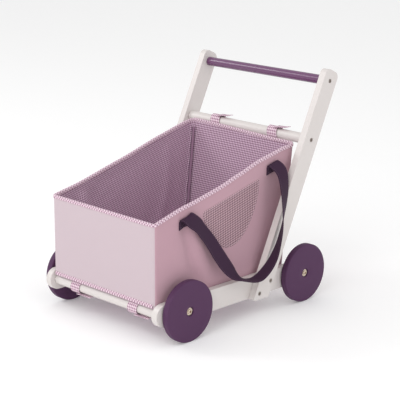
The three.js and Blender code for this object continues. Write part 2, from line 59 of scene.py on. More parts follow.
MM = 0.001
CLOTH_PLACE = "cloth_place"  # each point's place on the cloth, in metres along weft and warp
CLOTH_CREASE_DEGREES = 60.0
WEBBING_CREASE_DEGREES = 50.0
SHEET_EDGE_DEGREES = 40.0
OVERRUN = 2 * MM  # how far a cutter passes the face that it cuts
RGBA = tuple[float, float, float, float]


class Side(Enum):
    """The two sides of the stroller, as the sign of X."""

    LEFT = -1
    RIGHT = 1

    @property
    def tag(self) -> str:
        """The word used in the names of nodes and pieces."""
        return self.name.lower()


class Wall(Enum):
    """The four walls of the bag."""

    FRONT = "front"
    RIGHT = "right"
    REAR = "rear"
    LEFT = "left"


class Body(Enum):
    """The rigid bodies that pieces ride on."""

    ROOT = "root"
    STRAP_LEFT = "strap_left"
    STRAP_RIGHT = "strap_right"


# ---- Small helpers -------------------------------------------------------------------------


def linear(red: int, green: int, blue: int) -> RGBA:
    """Turns a display colour into the linear colour that a shader takes.

    Args:
        red: Red, 0 to 255.
        green: Green, 0 to 255.
        blue: Blue, 0 to 255.

    Returns:
        Linear red, green, blue and an alpha of one.
    """

    def one(value: int) -> float:
        """One channel, display to linear."""
        share = value / 255
        return share / 12.92 if share <= 0.04045 else ((share + 0.055) / 1.055) ** 2.4

    return (one(red), one(green), one(blue), 1.0)


def smooth_step(low: float, high: float, value: float) -> float:
    """Rises smoothly from 0 at low to 1 at high."""
    share = min(max((value - low) / (high - low), 0.0), 1.0)
    return share * share * (3 - 2 * share)


def bell(distance: float, width: float) -> float:
    """A bell curve of height one, with the given spread."""
    return math.exp(-0.5 * (distance / width) ** 2)


def through(knots: Sequence[tuple[float, float]], place: float) -> float:
    """Reads a smooth curve through a few knots.

    Args:
        knots: Pairs of place and value, in order of place.
        place: Where the curve is read.

    Returns:
        The value there, held level beyond the first and last knot.
    """
    if place <= knots[0][0]:
        return knots[0][1]
    for (low, a), (high, b) in zip(knots, knots[1:]):
        if place <= high:
            return a + (b - a) * smooth_step(low, high, place)
    return knots[-1][1]


def on_the_bias(along: float, across: float) -> tuple[float, float]:
    """Turns a place on a tape by 45 degrees, because bindings are cut across the weave."""
    return ((along + across) * math.sqrt(0.5), (along - across) * math.sqrt(0.5))


def corners_of(node: str) -> tuple[Vector, Vector]:
    """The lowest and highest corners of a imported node's box."""
    low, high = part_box(node)
    return Vector(low), Vector(high)


def centre_of(node: str) -> Vector:
    """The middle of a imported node's box."""
    low, high = corners_of(node)
    return (low + high) / 2


def axis_of(low: Vector, high: Vector) -> Vector:
    """The point on X = 0 in the middle of a turned part's box."""
    return Vector((0, (low.y + high.y) / 2, (low.z + high.z) / 2))


# ---- Shader building -----------------------------------------------------------------------


@dataclass
class Shader:
    """A node tree being wired, either a material's or a group's."""

    tree: bpy.types.NodeTree

    def node(self, kind: str, **settings: object) -> bpy.types.Node:
        """Adds one node.

        Args:
            kind: The node's type name.
            settings: Properties to set on it.

        Returns:
            The new node.
        """
        made = self.tree.nodes.new(kind)
        for key, value in settings.items():
            setattr(made, key, value)
        return made

    def feed(self, socket: bpy.types.NodeSocket, value: object) -> None:
        """Links another node's output to a socket, or sets a constant on it.

        Args:
            socket: The socket to feed.
            value: A node's output or a constant.
        """
        if isinstance(value, bpy.types.NodeSocket):
            self.tree.links.new(value, socket)
        else:
            socket.default_value = value

    def feed_all(self, node: bpy.types.Node, values: dict[str, object]) -> None:
        """Feeds or sets several of a node's inputs, by name."""
        for label, value in values.items():
            self.feed(node.inputs[label], value)

    def effect(self, group: bpy.types.NodeTree, values: dict[str, object]) -> bpy.types.Node:
        """Places a shared group and feeds its inputs.

        Args:
            group: The group.
            values: A value or output for each input's name.

        Returns:
            The group's node.
        """
        made = self.node("ShaderNodeGroup", node_tree=group)
        self.feed_all(made, values)
        return made

    def maths(self, operation: str, first: object, second: object = 0.0) -> bpy.types.NodeSocket:
        """Adds a Math node and returns its value.

        Args:
            operation: The Math node's operation.
            first: The first input.
            second: The second input.

        Returns:
            The node's value.
        """
        made = self.node("ShaderNodeMath", operation=operation)
        self.feed(made.inputs[0], first)
        self.feed(made.inputs[1], second)
        return made.outputs[0]

    def mix(self, share: object, first: object, second: object) -> bpy.types.NodeSocket:
        """Adds a colour Mix node and returns its colour.

        Args:
            share: The second colour's share, 0 to 1.
            first: The first input.
            second: The second input.

        Returns:
            The mixed colour.
        """
        made = self.node("ShaderNodeMix", data_type="RGBA")
        self.feed(made.inputs["Factor"], share)
        self.feed(made.inputs["A"], first)
        self.feed(made.inputs["B"], second)
        return made.outputs["Result"]

    def noise(self, place: object, scale: object, detail: float = 3.0) -> bpy.types.NodeSocket:
        """Adds a Noise Texture and returns its value from 0 to 1.

        Args:
            place: Where it is read.
            scale: How fine it is, in cycles per metre.
            detail: How many layers it has.

        Returns:
            A value from 0 to 1.
        """
        made = self.node("ShaderNodeTexNoise")
        made.inputs["Detail"].default_value = detail
        self.feed(made.inputs["Vector"], place)
        self.feed(made.inputs["Scale"], scale)
        return made.outputs["Fac"]

    def remap(self, value: object, low: float, high: float) -> bpy.types.NodeSocket:
        """Stretches a value from 0..1 to low..high.

        Args:
            value: A node's output or a constant.
            low: What 0 becomes.
            high: What 1 becomes.

        Returns:
            The stretched value.
        """
        made = self.node("ShaderNodeMapRange")
        self.feed(made.inputs["Value"], value)
        made.inputs["To Min"].default_value = low
        made.inputs["To Max"].default_value = high
        return made.outputs["Result"]


def new_group(
    name: str, inputs: Sequence[tuple[str, str, object]], outputs: Sequence[tuple[str, str]]
) -> Shader:
    """Starts a shader node group with named sockets.

    Args:
        name: The group's name.
        inputs: Name, socket type and default of each input.
        outputs: Name and socket type of each output.

    Returns:
        The group, ready to be wired.
    """
    group = bpy.data.node_groups.new(name, "ShaderNodeTree")
    for label, kind, default in inputs:
        socket = group.interface.new_socket(name=label, in_out="INPUT", socket_type=kind)
        if default is not None:
            socket.default_value = default
    for label, kind in outputs:
        group.interface.new_socket(name=label, in_out="OUTPUT", socket_type=kind)
    return Shader(group)


FLOAT = "NodeSocketFloat"
COLOUR = "NodeSocketColor"
VECTOR = "NodeSocketVector"


@dataclass(frozen=True)
class Effects:
    """The shader groups that several materials share."""

    lacquer: bpy.types.NodeTree
    weave: bpy.types.NodeTree
    gingham: bpy.types.NodeTree
    soil: bpy.types.NodeTree


def lacquer_group() -> bpy.types.NodeTree:
    """Builds the group for painted wood: grain that shows through, brush waviness and rub marks.

    Returns:
        The group.
    """
    shade = new_group(
        "lacquer_over_grain",
        [
            ("Place", VECTOR, None),
            ("Grain Size", FLOAT, 1.0),
            ("Paint", COLOUR, None),
            ("Rubbed", COLOUR, None),
        ],
        [("Colour", COLOUR), ("Roughness Shift", FLOAT), ("Height", FLOAT)],
    )
    source = shade.node("NodeGroupInput")
    sink = shade.node("NodeGroupOutput")
    stretch = shade.node("ShaderNodeMapping", vector_type="POINT")
    stretch.inputs["Scale"].default_value = (9.0, 1.0, 9.0)
    shade.feed(stretch.inputs["Vector"], source.outputs["Place"])
    fibre_scale = shade.maths("MULTIPLY", source.outputs["Grain Size"], 34.0)
    fibres = shade.noise(stretch.outputs["Vector"], fibre_scale, 5.0)
    waves = shade.noise(source.outputs["Place"], 26.0, 2.0)
    specks = shade.noise(source.outputs["Place"], 420.0, 2.0)
    rub = shade.remap(shade.maths("GREATER_THAN", specks, 0.735), 0.0, 0.35)
    cloudy = shade.remap(waves, 0.0, 0.16)
    tint = shade.mix(cloudy, source.outputs["Paint"], source.outputs["Rubbed"])
    streak = shade.mix(shade.remap(fibres, 0.0, 0.12), tint, source.outputs["Rubbed"])
    shade.feed(sink.inputs["Colour"], shade.mix(rub, streak, source.outputs["Rubbed"]))
    shade.feed(sink.inputs["Roughness Shift"], shade.remap(waves, -0.05, 0.07))
    relief = shade.maths("ADD", shade.maths("MULTIPLY", fibres, 0.6), shade.maths("MULTIPLY", waves, 0.5))
    shade.feed(sink.inputs["Height"], relief)
    return shade.tree


def weave_group() -> bpy.types.NodeTree:
    """Builds the group for a plain weave: over-and-under threads with uneven yarns.

    Returns:
        The group.
    """
    shade = new_group(
        "plain_weave",
        [("Place", VECTOR, None), ("Threads per Metre", FLOAT, 1500.0), ("Rib", FLOAT, 1.0)],
        [("Height", FLOAT), ("Yarn", FLOAT)],
    )
    source = shade.node("NodeGroupInput")
    sink = shade.node("NodeGroupOutput")
    split = shade.node("ShaderNodeSeparateXYZ")
    shade.feed(split.inputs[0], source.outputs["Place"])
    turn = shade.maths("MULTIPLY", source.outputs["Threads per Metre"], math.pi)
    weft = shade.maths("SINE", shade.maths("MULTIPLY", split.outputs["X"], turn))
    slower = shade.maths("MULTIPLY", turn, source.outputs["Rib"])
    warp = shade.maths("SINE", shade.maths("MULTIPLY", split.outputs["Y"], slower))
    over = shade.maths("MULTIPLY", weft, warp)
    yarn = shade.noise(source.outputs["Place"], 900.0, 3.0)
    shade.feed(
        sink.inputs["Height"],
        shade.maths("ADD", shade.remap(over, 0.3, 0.7), shade.maths("MULTIPLY", yarn, 0.6)),
    )
    shade.feed(sink.inputs["Yarn"], yarn)
    return shade.tree


def gingham_group() -> bpy.types.NodeTree:
    """Builds the group for gingham: bands of dyed thread both ways, darkest where they cross.

    Returns:
        The group.
    """
    shade = new_group(
        "gingham_check",
        [
            ("Place", VECTOR, None),
            ("Check Size", FLOAT, 0.0034),
            ("Pale", COLOUR, None),
            ("Middle", COLOUR, None),
            ("Deep", COLOUR, None),
        ],
        [("Colour", COLOUR)],
    )
    source = shade.node("NodeGroupInput")
    sink = shade.node("NodeGroupOutput")
    split = shade.node("ShaderNodeSeparateXYZ")
    shade.feed(split.inputs[0], source.outputs["Place"])
    bands = []
    for axis in ("X", "Y"):
        wander = shade.maths("MULTIPLY", shade.noise(source.outputs["Place"], 60.0, 2.0), 0.0005)
        moved = shade.maths("ADD", split.outputs[axis], wander)
        step = shade.maths("FRACT", shade.maths("DIVIDE", moved, source.outputs["Check Size"]))
        bands.append(shade.maths("GREATER_THAN", step, 0.5))
    either = shade.maths("MAXIMUM", bands[0], bands[1])
    both = shade.maths("MULTIPLY", bands[0], bands[1])
    striped = shade.mix(either, source.outputs["Pale"], source.outputs["Middle"])
    shade.feed(sink.inputs["Colour"], shade.mix(both, striped, source.outputs["Deep"]))
    return shade.tree


def soil_group() -> bpy.types.NodeTree:
    """Builds the group for slow changes of shade: handling, faded dye and a little dust.

    Returns:
        The group.
    """
    shade = new_group(
        "faded_and_dusty",
        [("Place", VECTOR, None), ("Colour", COLOUR, None), ("Amount", FLOAT, 0.1)],
        [("Colour", COLOUR)],
    )
    source = shade.node("NodeGroupInput")
    sink = shade.node("NodeGroupOutput")
    cloud = shade.noise(source.outputs["Place"], 14.0, 4.0)
    fine = shade.noise(source.outputs["Place"], 160.0, 2.0)
    both = shade.maths("MULTIPLY", shade.maths("ADD", cloud, fine), source.outputs["Amount"])
    dust = (0.62, 0.56, 0.55, 1.0)
    shade.feed(sink.inputs["Colour"], shade.mix(both, source.outputs["Colour"], dust))
    return shade.tree


EFFECTS = Effects(lacquer_group(), weave_group(), gingham_group(), soil_group())


def start_material(name: str) -> tuple[bpy.types.Material, Shader, bpy.types.Node]:
    """Makes an empty material with a Principled shader.

    Args:
        name: The material's name.

    Returns:
        The material, its tree and its Principled node.
    """
    material = bpy.data.materials.new(name)
    material.use_nodes = True
    shade = Shader(material.node_tree)
    principled = material.node_tree.nodes["Principled BSDF"]
    return material, shade, principled


def place_on(shade: Shader, by_cloth: bool) -> bpy.types.NodeSocket:
    """Reads where a point lies, on the cloth or in the object.

    Args:
        shade: The tree being wired.
        by_cloth: Whether the place is on the cloth.

    Returns:
        The socket that gives the place.
    """
    if by_cloth:
        return shade.node("ShaderNodeAttribute", attribute_name=CLOTH_PLACE).outputs["Vector"]
    return shade.node("ShaderNodeTexCoord").outputs["Object"]


def bump(
    shade: Shader, principled: bpy.types.Node, height: object, depth: float, strength: float = 1.0
) -> None:
    """Feeds a height through a Bump node into the shader's normal.

    Args:
        shade: The material's tree.
        principled: The shader that takes the normal.
        height: The height socket, 0 to 1.
        depth: How deep a height of one is, in metres.
        strength: How strongly it shows.
    """
    made = shade.node("ShaderNodeBump")
    made.inputs["Strength"].default_value = strength
    made.inputs["Distance"].default_value = depth
    shade.feed(made.inputs["Height"], height)
    shade.feed(principled.inputs["Normal"], made.outputs["Normal"])


@dataclass(frozen=True)
class PaintedWood:
    """Lacquered wood with the grain just showing."""

    name: str
    paint: RGBA
    rubbed: RGBA
    roughness: float
    coat: float
    specular: float = 0.5

    def make(self) -> bpy.types.Material:
        """Builds the material.

        Returns:
            The material.
        """
        material, shade, principled = start_material(self.name)
        place = place_on(shade, False)
        wood = shade.effect(EFFECTS.lacquer, {"Place": place, "Paint": self.paint, "Rubbed": self.rubbed})
        finish = {
            "Base Color": wood.outputs["Colour"],
            "Roughness": shade.maths("ADD", wood.outputs["Roughness Shift"], self.roughness),
            "Specular IOR Level": self.specular,
            "Coat Weight": self.coat,
            "Coat Roughness": 0.3,
        }
        shade.feed_all(principled, finish)
        bump(shade, principled, wood.outputs["Height"], 0.12 * MM, 0.5)
        return material


@dataclass(frozen=True)
class PlatedMetal:
    """Turned and plated steel."""

    name: str
    colour: RGBA
    roughness: float

    def make(self) -> bpy.types.Material:
        """Builds the material.

        Returns:
            The material.
        """
        material, shade, principled = start_material(self.name)
        place = place_on(shade, False)
        soil = shade.effect(EFFECTS.soil, {"Place": place, "Colour": self.colour, "Amount": 0.12})
        scratches = shade.noise(place, 700.0, 4.0)
        finish = {
            "Base Color": soil.outputs["Colour"],
            "Metallic": 0.85,
            "Roughness": shade.remap(scratches, self.roughness - 0.08, self.roughness + 0.12),
        }
        shade.feed_all(principled, finish)
        bump(shade, principled, scratches, 0.04 * MM, 0.4)
        return material


@dataclass(frozen=True)
class Cotton:
    """Plain woven cotton in one dyed colour."""

    name: str
    colour: RGBA
    threads: float = 1500.0

    def make(self) -> bpy.types.Material:
        """Builds the material.

        Returns:
            The material.
        """
        material, shade, principled = start_material(self.name)
        place = place_on(shade, True)
        weave = shade.effect(EFFECTS.weave, {"Place": place, "Threads per Metre": self.threads})
        soil = shade.effect(EFFECTS.soil, {"Place": place, "Colour": self.colour, "Amount": 0.05})
        shadow = tuple(0.82 * channel for channel in self.colour[:3]) + (1.0,)
        depth = shade.remap(weave.outputs["Yarn"], 0.0, 0.35)
        finish = {
            "Base Color": shade.mix(depth, soil.outputs["Colour"], shadow),
            "Roughness": 0.92,
            "Sheen Weight": 0.15,
            "Specular IOR Level": 0.2,
        }
        shade.feed_all(principled, finish)
        bump(shade, principled, weave.outputs["Height"], 0.18 * MM, 0.5)
        return material


@dataclass(frozen=True)
class Gingham:
    """Small checks woven from dyed and undyed thread."""

    name: str
    pale: RGBA
    middle: RGBA
    deep: RGBA
    check: float

    def make(self) -> bpy.types.Material:
        """Builds the material.

        Returns:
            The material.
        """
        material, shade, principled = start_material(self.name)
        place = place_on(shade, True)
        tones = {"Pale": self.pale, "Middle": self.middle, "Deep": self.deep}
        check = shade.effect(EFFECTS.gingham, {"Place": place, "Check Size": self.check, **tones})
        weave = shade.effect(EFFECTS.weave, {"Place": place, "Threads per Metre": 1800.0})
        soiled = {"Place": place, "Colour": check.outputs["Colour"], "Amount": 0.06}
        soil = shade.effect(EFFECTS.soil, soiled)
        finish = {
            "Base Color": soil.outputs["Colour"],
            "Roughness": 0.9,
            "Sheen Weight": 0.12,
            "Specular IOR Level": 0.2,
        }
        shade.feed_all(principled, finish)
        bump(shade, principled, weave.outputs["Height"], 0.2 * MM, 0.6)
        return material


@dataclass(frozen=True)
class Webbing:
    """Tightly woven flat webbing with ribs across it."""

    name: str
    colour: RGBA
    worn: RGBA

    def make(self) -> bpy.types.Material:
        """Builds the material.

        Returns:
            The material.
        """
        material, shade, principled = start_material(self.name)
        threads = {"Place": place_on(shade, True), "Threads per Metre": 1100.0, "Rib": 0.5}
        weave = shade.effect(EFFECTS.weave, threads)
        finish = {
            "Base Color": shade.mix(shade.remap(weave.outputs["Height"], 0.0, 0.3), self.colour, self.worn),
            "Roughness": 0.75,
            "Sheen Weight": 0.04,
            "Specular IOR Level": 0.2,
        }
        shade.feed_all(principled, finish)
        bump(shade, principled, weave.outputs["Height"], 0.3 * MM, 0.7)
        return material


@dataclass(frozen=True)
class Plain:
    """Moulded nylon, sewing thread or pressed board: one colour with a fine, cloudy change."""

    name: str
    colour: RGBA
    roughness: float
    amount: float

    def make(self) -> bpy.types.Material:
        """Builds the material.

        Returns:
            The material.
        """
        material, shade, principled = start_material(self.name)
        place = place_on(shade, False)
        soil = shade.effect(EFFECTS.soil, {"Place": place, "Colour": self.colour, "Amount": self.amount})
        shade.feed_all(principled, {"Base Color": soil.outputs["Colour"], "Roughness": self.roughness})
        bump(shade, principled, shade.noise(place, 500.0, 4.0), 0.06 * MM, 0.5)
        return material


@dataclass
class Materials:
    """Every material of the stroller, made once."""

    white: bpy.types.Material
    plum: bpy.types.Material
    plum_gloss: bpy.types.Material
    pale_metal: bpy.types.Material
    grey_metal: bpy.types.Material
    nylon: bpy.types.Material
    front_cotton: bpy.types.Material
    side_cotton: bpy.types.Material
    lining: bpy.types.Material
    lining_edge: bpy.types.Material
    binding: bpy.types.Material
    patch: bpy.types.Material
    webbing: bpy.types.Material
    board: bpy.types.Material
    pink_thread: bpy.types.Material
    plum_thread: bpy.types.Material


def make_materials() -> Materials:
    """Builds all the materials.

    Returns:
        The materials.
    """
    return Materials(
        white=PaintedWood("white_lacquer", linear(219, 213, 211), linear(206, 196, 188), 0.42, 0.15).make(),
        plum=PaintedWood(
            "plum_lacquer", linear(82, 51, 83), linear(94, 64, 94), 0.6, 0.02, specular=0.2
        ).make(),
        plum_gloss=PaintedWood(
            "plum_gloss_lacquer", linear(100, 54, 97), linear(112, 66, 108), 0.27, 0.4
        ).make(),
        pale_metal=PlatedMetal("pale_nickel", linear(225, 208, 186), 0.34).make(),
        grey_metal=PlatedMetal("zinc", linear(140, 130, 122), 0.4).make(),
        nylon=Plain("moulded_nylon", linear(214, 208, 202), 0.5, 0.08).make(),
        # A paler, less saturated copy of the rose cotton for the front panel: painted sheen of the light on
        # the lit front face.
        front_cotton=Cotton("pale_rose_cotton", linear(202, 185, 192)).make(),
        side_cotton=Cotton("rose_cotton", linear(191, 152, 165)).make(),
        lining=Gingham(
            "lining_gingham", linear(232, 208, 226), linear(182, 146, 170), linear(114, 77, 101), 0.0038
        ).make(),
        # A darker copy of the lining for the corner seams' flaps: painted shade of the fold.
        lining_edge=Cotton("lining_edge", linear(164, 128, 154)).make(),
        binding=Gingham(
            "binding_gingham", linear(238, 219, 228), linear(208, 178, 194), linear(150, 106, 132), 0.0042
        ).make(),
        patch=Gingham(
            "patch_gingham", linear(204, 172, 180), linear(152, 118, 130), linear(98, 66, 79), 0.004
        ).make(),
        webbing=Webbing("plum_webbing", linear(54, 32, 54), linear(68, 41, 67)).make(),
        board=Plain("pressed_board", linear(150, 122, 98), 0.8, 0.2).make(),
        pink_thread=Plain("pink_thread", linear(226, 196, 208), 0.8, 0.05).make(),
        plum_thread=Plain("plum_thread", linear(92, 66, 90), 0.8, 0.05).make(),
    )


# ---- Mesh building -------------------------------------------------------------------------


@dataclass
class Surface:
    """Points and faces on their way to becoming one object."""

    points: list[Vector]
    faces: list[tuple[int, ...]]
    places: Optional[list[tuple[float, float]]] = None

    def add(self, other: "Surface") -> None:
        """Adds another surface's points and faces to this one.

        Args:
            other: The surface to add.
        """
        start = len(self.points)
        self.points.extend(other.points)
        self.faces.extend(tuple(i + start for i in face) for face in other.faces)
        if self.places is not None and other.places is not None:
            self.places.extend(other.places)

    def mirrored(self, side: Side) -> "Surface":
        """Returns this surface, or for the left side its mirror image across X.

        Args:
            side: The side it is on.

        Returns:
            The surface for that side.
        """
        if side is Side.RIGHT:
            return self
        flipped = [Vector((-p.x, p.y, p.z)) for p in self.points]
        return Surface(flipped, [tuple(reversed(face)) for face in self.faces], self.places)


def sweep(rings: Sequence[Sequence[Vector]], closed_ring: bool, closed_run: bool = False) -> Surface:
    """Joins rings of points with quads.

    Args:
        rings: Rings, each with the same number of points.
        closed_ring: Whether each ring closes on itself.
        closed_run: Whether the last ring joins the first.

    Returns:
        The surface, with no end caps.
    """
    count = len(rings[0])
    points = [p.copy() for ring in rings for p in ring]
    faces = []
    for i in range(len(rings) if closed_run else len(rings) - 1):
        after = (i + 1) % len(rings)
        for k in range(count if closed_ring else count - 1):
            j = (k + 1) % count
            faces.append((i * count + k, i * count + j, after * count + j, after * count + k))
    return Surface(points, faces)


def capped(rings: Sequence[Sequence[Vector]]) -> Surface:
    """Joins closed rings with quads and closes both ends.

    Args:
        rings: Closed rings of points.

    Returns:
        The closed surface.
    """
    made = sweep(rings, True)
    count = len(rings[0])
    last = len(made.points) - count
    made.faces.append(tuple(reversed(range(count))))
    made.faces.append(tuple(range(last, last + count)))
    return made


def turned(
    profile: Sequence[tuple[float, float]], centre: Vector, sides: int, closed: bool = True
) -> Surface:
    """Turns a profile round an axis along X.

    Args:
        profile: Pairs of place along X and radius.
        centre: A point on the axis.
        sides: How many steps there are round the axis.
        closed: Whether the profile closes on itself, as for a ring.

    Returns:
        The turned surface.
    """
    rings = []
    for step in range(sides):
        angle = 2 * math.pi * step / sides
        spoke = Vector((0, math.cos(angle), math.sin(angle)))
        rings.append([centre + Vector((along, 0, 0)) + spoke * radius for along, radius in profile])
    return sweep(rings, closed, closed_run=True)


def make_object(
    name: str, surface: Surface, material: bpy.types.Material, crease_degrees: float = 35.0
) -> bpy.types.Object:
    """Turns a surface into a Blender object with one material.

    Args:
        name: The piece's name.
        surface: Its points and faces.
        material: Its material.
        crease_degrees: Edges sharper than this stay crisp.

    Returns:
        The object, linked to the scene.
    """
    mesh = bpy.data.meshes.new(name)
    mesh.from_pydata([tuple(p) for p in surface.points], [], surface.faces)
    if surface.places is not None:
        layer = mesh.attributes.new(CLOTH_PLACE, "FLOAT_VECTOR", "POINT")
        for i, (across, along) in enumerate(surface.places):
            layer.data[i].vector = (across, along, 0.0)
    work = bmesh.new()
    work.from_mesh(mesh)
    bmesh.ops.remove_doubles(work, verts=work.verts, dist=1e-6)
    bmesh.ops.recalc_face_normals(work, faces=work.faces)
    work.to_mesh(mesh)
    work.free()
    mesh.shade_smooth()
    mesh.set_sharp_from_angle(angle=math.radians(crease_degrees))
    mesh.materials.append(material)
    piece = bpy.data.objects.new(name, mesh)
    bpy.context.scene.collection.objects.link(piece)
    return piece


def attach(
    piece: bpy.types.Object, body: Body, slot: str, *nodes: str, body_name: Optional[str] = None
) -> bpy.types.Object:
    """Makes a piece ride on a body and hides the CAD nodes that it replaces.

    Args:
        piece: The piece.
        body: The body it rides on.
        slot: The record's material slot. Not used.
        nodes: The CAD nodes that it replaces.
        body_name: A body's own name, used instead of body where it is given.

    Returns:
        The same piece.
    """
    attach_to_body(piece, body_name or body.value)
    if nodes:
        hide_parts(*nodes)
    log.info("%s: %d faces, on %s", piece.name, len(piece.data.polygons), body_name or body.value)
    return piece


def settle(piece: bpy.types.Object) -> None:
    """Applies the piece's modifiers, so that its mesh is final.

    Args:
        piece: The piece.
    """
    graph = bpy.context.evaluated_depsgraph_get()
    finished = bpy.data.meshes.new_from_object(piece.evaluated_get(graph))
    old = piece.data
    piece.modifiers.clear()
    piece.data = finished
    bpy.data.meshes.remove(old)


def carve(piece: bpy.types.Object, cutters: Sequence[Surface]) -> None:
    """Cuts holes out of a piece.

    Args:
        piece: The piece to cut.
        cutters: Closed surfaces to take away.
    """
    for surface in cutters:
        tool = make_object("cutter", surface, piece.data.materials[0])
        change = piece.modifiers.new("hole", "BOOLEAN")
        change.operation = "DIFFERENCE"
        change.solver = "EXACT"
        change.object = tool
        settle(piece)
        bpy.data.objects.remove(tool)


def soften(piece: bpy.types.Object, width: float, segments: int = 3, crease_degrees: float = 30.0) -> None:
    """Rounds a piece's sharp edges and keeps its flat faces flat.

    Args:
        piece: The piece.
        width: The width of the rounding.
        segments: How many steps round the edge.
        crease_degrees: Edges sharper than this are rounded.
    """
    change = piece.modifiers.new("rounded edges", "BEVEL")
    change.width = width
    change.segments = segments
    change.limit_method = "ANGLE"
    change.angle_limit = math.radians(crease_degrees)
    change.harden_normals = True
    settle(piece)


def thicken(piece: bpy.types.Object, thickness: float, offset: int) -> None:
    """Gives a sheet its thickness.

    Args:
        piece: The sheet.
        thickness: How thick it becomes.
        offset: 1 to grow outwards, -1 inwards, 0 both ways.
    """
    change = piece.modifiers.new("thickness", "SOLIDIFY")
    change.thickness = thickness
    change.offset = offset
    settle(piece)
    if offset:
        piece.data.set_sharp_from_angle(angle=math.radians(SHEET_EDGE_DEGREES))


def drum(radius: float, low_x: float, high_x: float, y: float, z: float, sides: int) -> Surface:
    """A plain round bar along X, closed at both ends.

    Args:
        radius: The radius.
        low_x: One end along X.
        high_x: The other end along X.
        y: Place along the stroller.
        z: Height.
        sides: How many steps there are round it.

    Returns:
        The bar's surface.
    """
    rings = []
    for x in (low_x, high_x):
        ring = []
        for step in range(sides):
            angle = 2 * math.pi * step / sides
            ring.append(Vector((x, y + radius * math.cos(angle), z + radius * math.sin(angle))))
        rings.append(ring)
    return capped(rings)


def stitches(
    name: str,
    line: Sequence[Vector],
    face: Sequence[Vector],
    material: bpy.types.Material,
    pitch: float = 0.0027,
    length: float = 0.0019,
    radius: float = 0.00028,
) -> bpy.types.Object:
    """Sews a row of small raised stitches along a line.

    Args:
        name: The piece's name.
        line: Points along the seam.
        face: The cloth's outward direction at each point.
        material: The thread's material.
        pitch: From one stitch to the next.
        length: Each stitch's length.
        radius: The thread's radius.

    Returns:
        The row of stitches as one object.
    """
    travelled = [0.0]
    for a, b in zip(line, line[1:]):
        travelled.append(travelled[-1] + (b - a).length)

    def at(distance: float) -> tuple[Vector, Vector]:
        """The point and the outward direction at a distance along the line."""
        k = 0
        while k < len(line) - 2 and travelled[k + 1] < distance:
            k += 1
        span = max(travelled[k + 1] - travelled[k], 1e-9)
        share = (distance - travelled[k]) / span
        return line[k].lerp(line[k + 1], share), face[k].lerp(face[k + 1], share).normalized()

    row = Surface([], [])
    start = pitch / 2
    while start + length < travelled[-1]:
        rings = []
        for share, swell in ((0.0, 0.35), (0.2, 0.9), (0.5, 1.0), (0.8, 0.9), (1.0, 0.35)):
            middle, out = at(start + share * length)
            ahead = (at(start + length)[0] - at(start)[0]).normalized()
            across = ahead.cross(out).normalized()
            lift = out * (radius * (0.5 * swell + 0.1))
            rings.append(
                [
                    middle + lift + (across * math.cos(turn) + out * math.sin(turn)) * radius * swell
                    for turn in (math.pi * k / 3 for k in range(6))
                ]
            )
        row.add(capped(rings))
        start += pitch
    return make_object(name, row, material, CLOTH_CREASE_DEGREES)


# ---- Side frames and bars ------------------------------------------------------------------


@dataclass
class Fastener:
    """A socket-head screw, its head just under the face of the wood."""

    head_radius: float = 3.3 * MM
    head_depth: float = 2.0 * MM
    socket_radius: float = 1.6 * MM
    socket_depth: float = 1.2 * MM
    sink: float = 0.3 * MM

    def make(
        self,
        name: str,
        side: Side,
        face_x: float,
        y: float,
        z: float,
        tip_x: float,
        shank_radius: float,
        materials: Materials,
    ) -> bpy.types.Object:
        """Builds one screw.

        Args:
            name: The CAD node that it stands for.
            side: The side that its head faces.
            face_x: How far out the face of the wood is.
            y: Its place along the stroller.
            z: Its height.
            tip_x: How far out its tip is.
            shank_radius: The radius of its thread.
            materials: The stroller's materials.

        Returns:
            The screw, riding on the frame.
        """
        top = face_x - self.sink
        base = top - self.head_depth
        rounded = 0.5 * MM
        profile = [
            (tip_x, 0.0),
            (tip_x + 0.6 * MM, shank_radius * 0.7),
            (tip_x + 1.6 * MM, shank_radius),
            (base, shank_radius),
            (base, self.head_radius),
            (top - rounded, self.head_radius),
            (top - 0.15 * MM, self.head_radius - 0.25 * rounded),
            (top, self.head_radius - rounded),
            (top, 0.0),
        ]
        surface = turned(profile, Vector((0, y, z)), 24, closed=False).mirrored(side)
        screw = make_object(f"{name}_turned", surface, materials.grey_metal)
        socket = drum(self.socket_radius, top - self.socket_depth, top + 1 * MM, y, z, 6).mirrored(side)
        carve(screw, [socket])
        screw.data.set_sharp_from_angle(angle=math.radians(35))
        return attach(screw, Body.ROOT, "zinc_plating", name)


